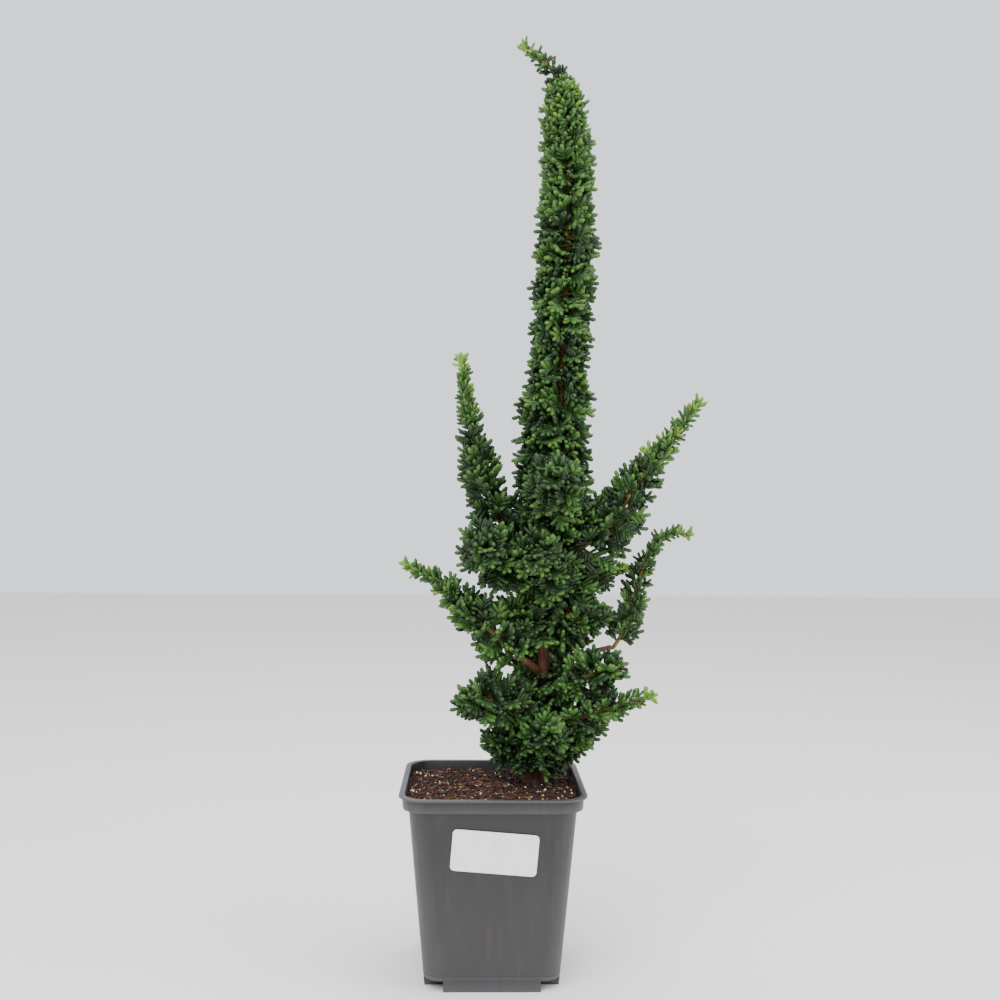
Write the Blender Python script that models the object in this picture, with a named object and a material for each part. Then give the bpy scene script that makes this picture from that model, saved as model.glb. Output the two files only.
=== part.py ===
"""A sekka hinoki cypress grown as a bonsai, in its square plastic nursery pot.

Metres, +Z up. The origin is under the middle of the pot's floor, the pot's front is at -Y,
and the trunk stands behind and to the right of the pot's middle.

The trunk runs up through the foliage to the leader's bend. Boughs leave it and end where they
enter their masses. Each mass is one solid: a stem, fans of cord-like shoots that branch from it by
a seeded rule, and, in a dense mass, a smaller core.
"""

import math
import random
from typing import NamedTuple

import bmesh
import bpy
import numpy as np
from mathutils import Matrix, Vector

MM = 0.001
GAP = 0.3 * MM  # left between two solids that touch on the real plant
GOLDEN_ANGLE = math.radians(137.5)

# The pot: a square injection-moulded nursery pot
POT_HEIGHT = 115 * MM
WALL = 1.5 * MM
FOOT_HALF = 39.8 * MM  # half the pot's width at the floor
NECK_HALF = 49.4 * MM  # half its width just under the band
NECK_HEIGHT = 106.2 * MM
BAND_HALF = 53.2 * MM  # the upright band that stiffens the rim
LIP_HALF = 55.0 * MM  # the thin lip on top of the band
LIP_THICK = 1.2 * MM
FOOT_CORNER = 11.0 * MM  # radii of the rounded corners
LIP_CORNER = 14.0 * MM
CORNER_STEPS = 3
POCKET_START = 28.5 * MM  # the floor steps up at each corner, from here outwards
POCKET_HEIGHT = 6.6 * MM
POCKET_DRAFT = 1.8 * MM  # how far the step leans outwards
DRAIN_HOLE = 6.0 * MM
DRAIN_SHIFT = 0.6 * MM  # the step leans, so the middle of its roof lies further out
BAND_FOOT = NECK_HEIGHT + 0.8 * MM  # the wall steps out to the band over this short slope
BAND_STEP = 0.5 * MM
LIP_ROUND = 0.2 * MM  # the lip's under side rises by this much as it steps out
HOLLOW_STEP = NECK_HEIGHT + 3.0 * MM
CUT_PAST = 1.0 * MM  # how far a cutter runs past what it cuts

# The soil, and the paper label on the pot's front
SOIL_EDGE = 109.0 * MM
SOIL_FOOT = 110.2 * MM  # level round the trunk's foot
SOIL_ROUGHNESS = 1.0 * MM
LUMPS_ACROSS = 190  # waves of the lumpy surface, in radians a metre
LUMPS_ALONG = 160
SOIL_PLATEAU = 12.0 * MM
SOIL_RINGS = 4
LABEL_SIZE = (50 * MM, 24.5 * MM)
LABEL_THICK = 0.4 * MM
LABEL_CORNER = 2.5 * MM
LABEL_PLACE = (0.9 * MM, 83.4 * MM)  # across and up the front wall
LABEL_TILT = math.radians(-4.6)


def mm(x, y, z):
    """A place given in millimetres."""
    return Vector((x, y, z)) * MM


# The trunk, from the soil to the leader's bend
TRUNK_LINE = (
    mm(27, 18, SOIL_FOOT / MM + GAP / MM), mm(31, 17, 167), mm(34.5, 15.5, 215), mm(38, 13.5, 270),
    mm(41.5, 10.5, 350), mm(44, 7, 430), mm(45, 5, 486), mm(44, 3.5, 520), mm(42, 3, 539),
)
TRUNK_SIDES = 8
TRUNK_RINGS = 20
TRUNK_WIDTHS = ((0, 4.9 * MM), (0.16, 3.6 * MM), (0.3, 2.3 * MM), (0.6, 1.6 * MM), (1, 0.9 * MM))
FLARE_WIDTH = 4.6 * MM  # what the root flare adds at the soil
FLARE_HEIGHT = 7 * MM
FLARE_LOBES = 5

# The sprays: fans of cypress cords, drawn larger and fewer than the real ones
SHOOT_RADIUS = 3.1 * MM
SHOOT_LENGTH = 14.5 * MM
SHOOT_POINT = 3.8 * MM  # from where a shoot is thickest to its tip
SIDE_LENGTH = 0.88  # a side shoot's length against the middle one's
SHOOT_SPREAD = math.radians(40)  # the least angle between neighbouring shoots
FAN_SHOOTS = 3
PALM = 0.42  # the hub's thickness and the notches' depth, against a shoot's radius and length
FULL_RUN = 17 * MM  # a fan that reaches less far than this is smaller all over
FAN_TURNS = 6  # how many turns of its plane a fan may try
ROOT_SUNK = 0.7 * MM  # how far a fan's root lies past the middle of its stem
FAN_FLATNESS = 0.95  # a shoot's half width, and below its height over and under the hub's plane
SHOOT_CREST = 1.0
SHOOT_KEEL = 0.45
STEM_RADII = (1.9 * MM, 1.0 * MM)
STEM_STRAIGHT = 2 * MM  # a stem runs on along its bough for this far before it bends
STEM_SIDES = 3
BOUGH_SIDES = 5
BOUGH_RINGS = 5
CORE_SIDES = 5
LOWEST_LEAF = POT_HEIGHT + 1.5 * MM
ROD_SAMPLES = 13  # places along a shoot where its distance to its neighbours is taken
ROD_GAP = 1.3 * GAP  # what is left between the rods that stand for two masses' shoots
ARM_LEAN = (62, 20)  # the sprays' angle to their stem in degrees, at its start and its end
CLUMP_LEAN = (98, 20)
BARE_FROM_BOUGH = 0.12  # the share of a stem that carries no sprays
BARE_FROM_TRUNK = 0.3


class Bough(NamedTuple):
    """A limb that leaves the trunk at a height and ends where it enters its mass."""

    name: str
    leaves_at: float
    elbow: Vector
    end: Vector
    radii: tuple = (2.3 * MM, 1.5 * MM)


class Mass(NamedTuple):
    """Foliage along a stem. It starts at a bough's end, or on the trunk at a height."""

    name: str
    start: object
    line: tuple  # the stem's further points
    reach: tuple  # how far the sprays reach from the stem at its start, middle and end
    sprays: int
    core: float = 0.0  # the core's radius as a share of the reach
    lean: tuple = ARM_LEAN
    size: float = 1.0  # the shoots' size against the usual one


BOUGHS = (
    Bough("bough_left_spire", 240 * MM, mm(22, 13, 252), mm(13, 9, 262)),
    Bough("bough_left_clump", 226 * MM, mm(22, 9, 235), mm(15, 5, 241), (2.1 * MM, 1.6 * MM)),
    Bough("bough_left_arm", 175 * MM, mm(26, 12, 182), mm(20, 7, 187), (2.7 * MM, 2.0 * MM)),
    Bough("bough_left_low", 149 * MM, mm(23, 11, 155), mm(16, 6, 158)),
    Bough("bough_right_spire", 243 * MM, mm(43, 13, 249), mm(49, 12, 253)),
    Bough("bough_right_candle", 186 * MM, mm(58, 19, 190), mm(75, 20, 194), (2.2 * MM, 1.4 * MM)),
    Bough("bough_right_inner", 163 * MM, mm(41, 11, 170), mm(47, 7, 173)),
    Bough("bough_right_low", 140 * MM, mm(38, 12, 145), mm(44, 8, 148)),
    Bough("bough_front_clump", 266 * MM, mm(38.8, 6, 277), mm(39, 1, 284), (1.9 * MM, 1.5 * MM)),
    Bough("bough_back_spire", 235 * MM, mm(38, 23, 245), mm(40, 29, 252)),
    Bough("bough_back_arm", 170 * MM, mm(32, 26, 178), mm(31, 32, 184), (2.5 * MM, 1.9 * MM)),
)

MASSES = (
    Mass("foliage_left_spire", "bough_left_spire",
         (mm(-0.6, 6, 280), mm(-9, 4, 305), mm(-14.6, 3, 331), mm(-20.5, 3, 372)),
         (17, 14, 6), 14, 0, ARM_LEAN, 1.1),
    Mass("foliage_left_clump", "bough_left_clump",
         (mm(3, -5, 252), mm(-4, -18, 258), mm(-5, -26, 258)), (20, 24, 18), 12, 0.4, CLUMP_LEAN, 1.3),
    Mass("foliage_left_inner", 200 * MM,
         (mm(20, 7, 213), mm(12, 3, 217)), (16, 19, 15), 7, 0, CLUMP_LEAN, 1.3),
    Mass("foliage_left_arm", "bough_left_arm",
         (mm(0, -5, 205), mm(-17.5, -11, 222), mm(-33, -15, 236.5), mm(-51, -19, 246)),
         (20, 16, 6), 16, 0, ARM_LEAN, 1.1),
    Mass("foliage_left_low", "bough_left_low",
         (mm(0, -6, 164), mm(-11, -12, 165)), (19, 21, 16), 11, 0.35, CLUMP_LEAN, 1.3),
    Mass("foliage_right_spire", "bough_right_spire",
         (mm(71, 6, 270), mm(89, 2, 297), mm(107, 0, 323), mm(124, -3, 345)),
         (21, 15, 7), 17, 0, ARM_LEAN, 1.1),
    Mass("foliage_right_candle", "bough_right_candle",
         (mm(83, 20, 205), mm(89, 20, 225), mm(95, 20, 244), mm(103, 20, 259), mm(113, 20, 266.5),
          mm(122, 20, 266)),
         (11, 10, 6), 12, 0, ARM_LEAN, 0.95),
    Mass("foliage_right_low", "bough_right_low",
         (mm(64, -4, 157), mm(82, -12, 164.6), mm(94, -15, 168)), (19, 13, 6), 12, 0, ARM_LEAN, 1.1),
    Mass("foliage_right_upper", 226 * MM,
         (mm(52, 17, 235), mm(70, 20, 241.6), mm(82, 22, 244)), (18, 16, 6), 9, 0, ARM_LEAN, 1.1),
    Mass("foliage_right_middle", 202 * MM,
         (mm(50, 15, 209), mm(62, 14, 214)), (17, 20, 15), 8, 0, CLUMP_LEAN, 1.3),
    Mass("foliage_right_inner", "bough_right_inner",
         (mm(62, 0, 180), mm(70, -4, 183)), (20, 21, 15), 10, 0.3, CLUMP_LEAN, 1.3),
    Mass("foliage_front_clump", "bough_front_clump",
         (mm(38.8, -15, 296), mm(38.5, -27, 300)), (20, 22, 17), 11, 0.4, CLUMP_LEAN, 1.3),
    Mass("foliage_front_fan", 222 * MM,
         (mm(32, -2, 242), mm(26, -17, 256), mm(23, -26, 252)), (17, 20, 15), 9, 0, CLUMP_LEAN, 1.3),
    Mass("foliage_back_spire", "bough_back_spire",
         (mm(43, 46, 281), mm(44, 54, 305), mm(44, 61, 335)), (19, 15, 7), 13, 0, ARM_LEAN, 1.15),
    Mass("foliage_back_arm", "bough_back_arm",
         (mm(27, 54, 199), mm(23, 70, 211), mm(20, 81, 218)), (20, 16, 6), 12, 0, ARM_LEAN, 1.15),
    Mass("foliage_back_clump", 252 * MM,
         (mm(29, 28, 264), mm(20, 37, 271)), (16, 20, 15), 8, 0, CLUMP_LEAN, 1.3),
    Mass("foliage_back_middle", 207 * MM,
         (mm(44, 30, 215), mm(51, 41, 222)), (16, 21, 15), 8, 0, CLUMP_LEAN, 1.3),
    Mass("foliage_skirt_left", 127 * MM,
         (mm(15, 10, 134), mm(4, 4, 137)), (16, 19, 14), 7, 0, CLUMP_LEAN, 1.3),
    Mass("foliage_skirt_right", 124 * MM,
         (mm(44, 14, 134), mm(57, 12, 141)), (16, 18, 13), 7, 0, CLUMP_LEAN, 1.3),
    Mass("foliage_skirt_front", 124 * MM,
         (mm(31, 0, 138), mm(33, -14, 145)), (17, 20, 16), 8, 0, CLUMP_LEAN, 1.3),
    Mass("foliage_skirt_back", 130 * MM,
         (mm(28, 33, 140), mm(27, 47, 149)), (17, 20, 15), 8, 0, CLUMP_LEAN, 1.3),
    Mass("foliage_leader_tip", "trunk",
         (mm(35, 2, 552), mm(26, 1, 560), mm(17.5, 0, 566)), (10, 7, 4.5), 7, 0, ARM_LEAN, 0.9),
)

# The leader's column: tiers of masses that stand round the trunk, each in its own sector
COLUMN_TIERS = (  # each tier's lower end and its number of sectors
    (284 * MM, 3), (336 * MM, 3), (388 * MM, 3), (440 * MM, 3), (490 * MM, 2), (540 * MM, 0),
)
COLUMN_REACH = (  # how far the column's face stands from its middle, by height
    (286, 24), (331, 25), (356, 24.5), (373, 21.5), (392, 19.5), (425, 22), (450, 21.5),
    (474, 19), (523, 16.5), (545, 10),
)
COLUMN_SHIFT = (  # how far the column's middle stands to the side of the trunk's
    (286, -4.5), (356, -4), (392, -2.2), (429, -1), (545, -1),
)
COLUMN_STEM_OUT = (4.5 * MM, 5.0 * MM, 3.75 * MM)  # a stem's places, out from the trunk's middle
COLUMN_STEM_RISE = (8 * MM, 3 * MM, -4 * MM)  # and above its root, its tier's middle and its tier's top
COLUMN_OVERLAP = 0.8  # the share of the reach that counts as a mass's own space
COLUMN_STAGGER = 5.0 * MM  # how much higher each sector's stem leaves the trunk than the last
COLUMN_SPRAYS = 7
COLUMN_SIZE = 1.2
COLUMN_DROOP = ((286, -0.2), (430, -0.05), (540, 0.3))  # how far a spray rises for its reach


def between(table, at):
    """The value at a place in a table of (place, value) pairs."""
    places, values = zip(*table)
    return float(np.interp(at, places, values))


def smooth_line(points, count):
    """Evenly spaced points along a Catmull-Rom curve through the points given."""
    ends = [points[0] * 2 - points[1], *points, points[-1] * 2 - points[-2]]
    dense = []
    for a, b, c, d in zip(ends, ends[1:], ends[2:], ends[3:]):
        for step in range(12):
            t = step / 12
            dense.append(0.5 * (2 * b + (c - a) * t + (2 * a - 5 * b + 4 * c - d) * t**2
                                + (3 * b - a - 3 * c + d) * t**3))
    dense.append(points[-1])
    run = np.concatenate([[0], np.cumsum([(q - p).length for p, q in zip(dense, dense[1:])])])
    even = np.linspace(0, run[-1], count)
    return [Vector([np.interp(s, run, [p[axis] for p in dense]) for axis in range(3)]) for s in even]


def across(direction, turn=0.0):
    """A unit vector square to a direction, turned about it."""
    side = direction.orthogonal().normalized()
    return (side * math.cos(turn) + direction.normalized().cross(side) * math.sin(turn)).normalized()


def sections(line, radius_at, sides, turn=0.0):
    """Rings of points round a line, carried along it without twisting."""
    rings = []
    side = None
    for i, place in enumerate(line):
        along = (line[min(i + 1, len(line) - 1)] - line[max(i - 1, 0)]).normalized()
        side = across(along, turn) if side is None else (side - along * side.dot(along)).normalized()
        other = along.cross(side)
        ring = []
        for k in range(sides):
            angle = math.tau * k / sides
            radius = radius_at(i / (len(line) - 1), angle)
            ring.append(place + (side * math.cos(angle) + other * math.sin(angle)) * radius)
        rings.append(ring)
    return rings


def skin(rings):
    """A closed mesh over rings of points, with flat ends."""
    mesh = bmesh.new()
    loops = [[mesh.verts.new(p) for p in ring] for ring in rings]
    for low, high in zip(loops, loops[1:]):
        for k in range(len(low)):
            after = (k + 1) % len(low)
            mesh.faces.new((low[k], low[after], high[after], high[k]))
    mesh.faces.new(loops[0][::-1])
    mesh.faces.new(loops[-1])
    return mesh


def tube(line, radius_at, sides, turn=0.0):
    return skin(sections(line, radius_at, sides, turn))


def tapering(first, last):
    return lambda t, _angle: first + (last - first) * t


class Shoot(NamedTuple):
    """One finger of a fan: its direction from the hub, and its length and radius."""

    aim: Vector
    length: float
    radius: float

    def belly(self, hub):
        return hub + self.aim * (self.length - SHOOT_POINT * self.radius / SHOOT_RADIUS)


def fan_mesh(root, hub, shoots, normal):
    """A closed fan: a webbed palm from the root, and three-sided shoots that widen to their tips."""
    mesh = bmesh.new()
    lift = normal * shoots[0].radius * PALM * 1.4
    poles = [mesh.verts.new(hub + lift), mesh.verts.new(hub - lift)]
    foot = mesh.verts.new(root)
    notches = [foot]
    for a, b in zip(shoots, shoots[1:]):
        depth = min(a.length, b.length) * PALM
        notches.append(mesh.verts.new(hub + (a.aim + b.aim).normalized() * depth))
    notches.append(foot)
    for k, shoot in enumerate(shoots):
        belly = shoot.belly(hub)
        side = normal.cross(shoot.aim).normalized() * shoot.radius * FAN_FLATNESS
        rise = normal * shoot.radius * (1 if k % 2 else -1)
        right, left = (mesh.verts.new(belly + way * side - rise * SHOOT_KEEL) for way in (-1, 1))
        crest = mesh.verts.new(belly + rise * SHOOT_CREST)
        tip = mesh.verts.new(hub + shoot.aim * shoot.length)
        near, far = poles if k % 2 else poles[::-1]
        for a, b in ((notches[k], right), (right, crest), (crest, left), (left, notches[k + 1])):
            mesh.faces.new((near, a, b))
        for a, b in ((notches[k], right), (right, left), (left, notches[k + 1])):
            mesh.faces.new((far, b, a))
        for a, b in ((right, crest), (crest, left), (left, right)):
            mesh.faces.new((tip, b, a))
    return mesh


def make_material(name, colour, roughness):
    material = bpy.data.materials.new(name)
    material.use_nodes = True
    shader = material.node_tree.nodes["Principled BSDF"]
    shader.inputs["Base Color"].default_value = (*colour, 1)
    shader.inputs["Roughness"].default_value = roughness
    shader.inputs["Metallic"].default_value = 0.0
    material.diffuse_color = (*colour, 1)
    return material


def add_object(name, mesh, material=None, collection=None):
    data = bpy.data.meshes.new(name)
    bmesh.ops.recalc_face_normals(mesh, faces=mesh.faces)
    mesh.to_mesh(data)
    mesh.free()
    if material:
        data.materials.append(material)
    made = bpy.data.objects.new(name, data)
    (collection or bpy.context.scene.collection).objects.link(made)
    return made


def add_cutter(name, mesh):
    cutter = add_object(name, mesh)
    cutter.hide_render = True
    cutter.display_type = "WIRE"
    return cutter


def cut_away(target, cutter, solver="EXACT"):
    cut = target.modifiers.new("cut by " + cutter.name, "BOOLEAN")
    cut.operation = "DIFFERENCE"
    cut.object = cutter
    cut.solver = solver
    return cut


def rounded_square(half, corner, height):
    """The outline of a square with round corners, anticlockwise from its right side."""
    points = []
    for quarter in range(4):
        middle = Vector((half - corner, half - corner, 0))
        for step in range(CORNER_STEPS + 1):
            angle = math.radians(90 * step / CORNER_STEPS)
            point = middle + Vector((math.cos(angle), math.sin(angle), 0)) * corner
            for _ in range(quarter):
                point = Vector((-point.y, point.x, 0))
            points.append(point + Vector((0, 0, height)))
    return points


def wall_half(height):
    """Half the pot's outer width at a height on its sloping wall."""
    return between(((0, FOOT_HALF), (NECK_HEIGHT, NECK_HALF)), height)


def wall_corner(height):
    return between(((0, FOOT_CORNER), (POT_HEIGHT, LIP_CORNER)), height)


def pocket_blocks(grown):
    """The four corner steps of the floor as solids, grown inwards and upwards by a wall's thickness."""
    blocks = bmesh.new()
    for sx in (-1, 1):
        for sy in (-1, 1):
            rings = []
            for height, inset in ((-CUT_PAST, 0), (POCKET_HEIGHT + grown, POCKET_DRAFT)):
                near = POCKET_START - grown + inset
                far = LIP_HALF
                corners = ((near, near), (far, near), (far, far), (near, far))
                rings.append([Vector((sx * x, sy * y, height)) for x, y in corners])
            block = skin(rings)
            data = bpy.data.meshes.new("pocket")
            bmesh.ops.recalc_face_normals(block, faces=block.faces)
            block.to_mesh(data)
            block.free()
            blocks.from_mesh(data)
            bpy.data.meshes.remove(data)
    return blocks


def drain_holes():
    """A square hole through the middle of each corner step."""
    holes = bmesh.new()
    middle = (POCKET_START + FOOT_HALF) / 2 + DRAIN_SHIFT
    for sx in (-1, 1):
        for sy in (-1, 1):
            made = bmesh.ops.create_cube(holes, size=1)
            bmesh.ops.scale(holes, verts=made["verts"], vec=(DRAIN_HOLE, DRAIN_HOLE, 4 * WALL))
            place = Vector((sx * middle, sy * middle, POCKET_HEIGHT + WALL / 2))
            bmesh.ops.translate(holes, verts=made["verts"], vec=place)
    return holes


def build_pot(plastic):
    """Outer form, less the hollow, less the corner pockets and their drain holes."""
    outline = [rounded_square(wall_half(h), wall_corner(h), h) for h in (0, NECK_HEIGHT)]
    lip_foot = POT_HEIGHT - LIP_THICK
    lip_corner = LIP_CORNER + LIP_HALF - BAND_HALF
    outline += [
        rounded_square(BAND_HALF - BAND_STEP, wall_corner(BAND_FOOT), BAND_FOOT),
        rounded_square(BAND_HALF, LIP_CORNER, lip_foot),
        rounded_square(LIP_HALF, lip_corner, lip_foot + LIP_ROUND),
        rounded_square(LIP_HALF, lip_corner, POT_HEIGHT),
    ]
    pot = add_object("pot", skin(outline), plastic)
    inside = [
        rounded_square(wall_half(h) - WALL, wall_corner(h) - WALL, h) for h in (WALL, NECK_HEIGHT)
    ]
    for height in (HOLLOW_STEP, POT_HEIGHT + CUT_PAST):
        inside.append(rounded_square(BAND_HALF - WALL, LIP_CORNER - WALL, height))
    hollow = add_cutter("pot_hollow", skin(inside))
    cut_away(hollow, add_cutter("pocket_steps", pocket_blocks(WALL)))
    notches = add_cutter("pocket_notches", pocket_blocks(0))
    drains = add_cutter("drains", drain_holes())
    for cutter in (hollow, notches, drains):
        cut_away(pot, cutter)


def soil_height(place, rng):
    """The height of the soil's lumpy surface."""
    waves = math.sin(place.x * LUMPS_ACROSS + 1) * math.cos(place.y * LUMPS_ALONG)
    return SOIL_EDGE + SOIL_ROUGHNESS * (waves + rng.uniform(-0.7, 0.7))


def build_soil(earth):
    """The soil fills the pot: sloping sides, and a lumpy top that is flat at the trunk's foot."""
    rng = random.Random(5)
    clear = WALL + GAP
    rings = [
        rounded_square(wall_half(h) - clear, wall_corner(h) - clear, h) for h in (clear, NECK_HEIGHT)
    ]
    edge = rounded_square(wall_half(SOIL_EDGE) - clear, LIP_CORNER - clear, SOIL_EDGE)
    foot = TRUNK_LINE[0]
    for step in range(SOIL_RINGS):
        ring = []
        for outer in edge:
            outwards = Vector((outer.x - foot.x, outer.y - foot.y, 0)).normalized()
            inner = Vector((foot.x, foot.y, 0)) + outwards * SOIL_PLATEAU
            point = outer.lerp(Vector((inner.x, inner.y, 0)), step / (SOIL_RINGS - 1))
            point.z = SOIL_FOOT if step == SOIL_RINGS - 1 else soil_height(point, rng)
            ring.append(point)
        rings.append(ring)
    soil = add_object("soil", skin(rings), earth)
    cut_away(soil, add_cutter("soil_steps", pocket_blocks(clear)))


def build_label(paper):
    """A paper label with round corners, on the sloping front wall."""
    wide, high = (side / 2 for side in LABEL_SIZE)
    slope = math.atan2(NECK_HALF - FOOT_HALF, NECK_HEIGHT)
    across_label = Vector((math.cos(LABEL_TILT), 0, math.sin(LABEL_TILT)))
    up_label = Vector((-math.sin(LABEL_TILT), 0, math.cos(LABEL_TILT)))
    outwards = Vector((0, -math.cos(slope), -math.sin(slope)))
    middle_across, middle_up = LABEL_PLACE
    rings = []
    for lift in (GAP, GAP + LABEL_THICK):
        ring = []
        for quarter, (sx, sz) in enumerate(((1, 1), (-1, 1), (-1, -1), (1, -1))):
            for step in range(CORNER_STEPS + 1):
                angle = math.radians(90 * (quarter + step / CORNER_STEPS))
                x = sx * (wide - LABEL_CORNER) + math.cos(angle) * LABEL_CORNER
                z = sz * (high - LABEL_CORNER) + math.sin(angle) * LABEL_CORNER
                flat = across_label * x + up_label * z
                height = middle_up + flat.z * math.cos(slope)
                on_wall = Vector((middle_across + flat.x, -wall_half(height), height))
                ring.append(on_wall + outwards * lift)
        rings.append(ring)
    add_object("label", skin(rings), paper)


TRUNK = smooth_line(TRUNK_LINE, TRUNK_RINGS)


def trunk_radius(t, angle, extra=0.0):
    """The trunk's taper, with a lobed root flare at the soil."""
    length = TRUNK_LINE[-1].z - TRUNK_LINE[0].z
    flare = math.exp(-t * length / FLARE_HEIGHT)
    lobes = 0.75 + 0.25 * math.cos(FLARE_LOBES * angle)
    return between(TRUNK_WIDTHS, t) + FLARE_WIDTH * flare * lobes + extra


def trunk_place(height):
    """The middle of the trunk at a height."""
    heights = [p.z for p in TRUNK]
    return Vector([np.interp(height, heights, [p[axis] for p in TRUNK]) for axis in range(3)])


def trunk_skin(extra):
    """The trunk's surface, grown by a little. Its first ring is level: the flat cut at the soil."""
    rings = sections(TRUNK, lambda t, angle: trunk_radius(t, angle, extra), TRUNK_SIDES)
    rings[0] = [Vector((p.x, p.y, TRUNK_LINE[0].z)) for p in rings[0]]
    return skin(rings)


def build_trunk(bark):
    """The trunk, and the slightly larger cutter that keeps what joins it 0.3 mm clear."""
    add_object("trunk", trunk_skin(0), bark)
    return add_cutter("trunk_clearance", trunk_skin(GAP * 1.15))


def bough_line(bough):
    return smooth_line((trunk_place(bough.leaves_at), bough.elbow, bough.end), BOUGH_RINGS)


def build_bough(bough, bark, clearance):
    made = add_object(bough.name, tube(bough_line(bough), tapering(*bough.radii), BOUGH_SIDES), bark)
    cut_away(made, clearance)


class Space:
    """What each limb, stem, core and shoot takes up, as straight rods with a radius and an owner."""

    def __init__(self):
        self.starts, self.ends, self.radii, self.owners = [], [], [], []
        self.stems = {}

    def add(self, owner, start, end, radius):
        self.starts.append(tuple(start))
        self.ends.append(tuple(end))
        self.radii.append(radius)
        self.owners.append(owner)

    def add_line(self, owner, line, radius_at):
        for i, (a, b) in enumerate(zip(line, line[1:])):
            self.add(owner, a, b, radius_at(i / (len(line) - 1), 0))

    def clear(self, owner, start, end, radius):
        """True where a rod keeps a gap to all that other owners hold."""
        others = np.array(self.owners) != owner
        starts, ends, radii = (np.array(held)[others] for held in (self.starts, self.ends, self.radii))
        gaps = rod_gaps(np.array(start), np.array(end), starts, ends)
        return bool((gaps > radius + radii + ROD_GAP).all())

    def owned(self, owner, point):
        """True where a point lies nearer to its own stem than to another's, counted by their reaches."""
        own = self.depth(owner, point)
        return all(own <= self.depth(other, point) for other in self.stems if other != owner)

    def depth(self, owner, point):
        line, reach_at = self.stems[owner]
        spots = np.array(line)
        away = np.linalg.norm(spots - np.array(point), axis=1)
        nearest = int(away.argmin())
        return away[nearest] - reach_at(nearest / (len(line) - 1))


def rod_gaps(p, q, starts, ends):
    """The least distance from the segment pq to each of many segments."""
    samples = np.linspace(0, 1, ROD_SAMPLES)[:, None, None]
    points = p + (q - p) * samples
    runs = ends - starts
    share = ((points - starts) * runs).sum(-1) / np.maximum((runs * runs).sum(-1), 1e-12)
    nearest = starts + runs * np.clip(share, 0, 1)[..., None]
    return np.linalg.norm(points - nearest, axis=-1).min(0)


def reach_of(mass):
    first, middle, last = (share * MM for share in mass.reach)
    return lambda t: between(((0, first), (0.5, middle), (1, last)), t)


def stem_line(mass, lines):
    """A stem starts just past its bough's tip, or in the middle of the trunk, where it is cut clear."""
    if isinstance(mass.start, str):
        bough = lines[mass.start]
        along = (bough[-1] - bough[-2]).normalized()
        first = bough[-1] + along * GAP
        bend = first + along * STEM_STRAIGHT
        return [first, *smooth_line((bend, *mass.line), 2 + 2 * len(mass.line))]
    return smooth_line((trunk_place(mass.start), *mass.line), 2 + 2 * len(mass.line))


def stem_radii(mass):
    """A stem is as thick at its start as the bough that it grows on from."""
    ends = {bough.name: bough.radii[1] for bough in BOUGHS}
    first, last = ends.get(mass.start, STEM_RADII[0]), STEM_RADII[1]
    return first * min(mass.size, 1), last * min(mass.size, 1)


def aims(mass, line, rng):
    """Where each spray leaves the stem and the point it reaches for, with the one at the tip first."""
    reach_at = reach_of(mass)
    end = line[-1]
    yield line[-2], end + (end - line[-2]).normalized() * reach_at(1)
    skipped = BARE_FROM_BOUGH if isinstance(mass.start, str) else BARE_FROM_TRUNK
    for k in range(mass.sprays):
        share = (k + 0.6) / mass.sprays
        t = skipped + (1 - skipped) * share
        spot = t * (len(line) - 1)
        i = min(int(spot), len(line) - 2)
        root = line[i].lerp(line[i + 1], spot - i)
        along = (line[i + 1] - line[i]).normalized()
        lean = math.radians(mass.lean[0] + (mass.lean[1] - mass.lean[0]) * share**2)
        side = across(along, k * GOLDEN_ANGLE + rng.uniform(-0.3, 0.3))
        aim = side * math.sin(lean) + along * math.cos(lean)
        yield root, root + aim * reach_at(min(t, 1))


def fan(root, target, size, turn, rng):
    """Where a fan's root and hub lie, the plane it spreads in, and its shoots from right to left."""
    run = target - root
    along = run.normalized()
    scale = size * min(run.length / FULL_RUN, 1)
    radius, length = SHOOT_RADIUS * scale, min(SHOOT_LENGTH * scale, run.length - MM)
    hub = target - along * length
    normal = across(along, turn)
    least = 2 * math.atan(radius / (length * SIDE_LENGTH - SHOOT_POINT * scale)) * 1.05
    spread = max(SHOOT_SPREAD * rng.uniform(1, 1.2), least)
    shoots = []
    for k in range(FAN_SHOOTS):
        place = k - (FAN_SHOOTS - 1) / 2
        aim = Matrix.Rotation(place * spread, 3, normal) @ along
        aim = (aim + normal * rng.uniform(-0.12, 0.12)).normalized()
        share = SIDE_LENGTH * rng.uniform(0.93, 1.05) if place else 1
        shoots.append(Shoot(aim, length * share, radius))
    return root - along * ROOT_SUNK, hub, normal, shoots


def union(name, first, others, material):
    """One solid from a stem and all that stands on it."""
    group = bpy.data.collections.new(name + " parts")
    bpy.context.scene.collection.children.link(group)
    whole = add_object(name, first, material)
    for mesh in others:
        add_object("piece", mesh, None, group)
    join = whole.modifiers.new("join", "BOOLEAN")
    join.operation = "UNION"
    join.operand_type = "COLLECTION"
    join.collection = group
    join.solver = "MANIFOLD"
    apply_modifiers(whole)
    for piece in list(group.objects):
        bpy.data.objects.remove(piece)
    bpy.data.collections.remove(group)
    return whole


def apply_modifiers(target):
    bpy.context.view_layer.update()
    graph = bpy.context.evaluated_depsgraph_get()
    solid = bpy.data.meshes.new_from_object(target.evaluated_get(graph))
    target.modifiers.clear()
    old, target.data = target.data, solid
    bpy.data.meshes.remove(old)


def volume_of(triangles):
    """Six times the volume inside a closed set of triangles."""
    corners = ([vert.co for vert in face.verts] for face in triangles)
    return sum(a.dot(b.cross(c)) for a, b, c in corners)


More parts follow.
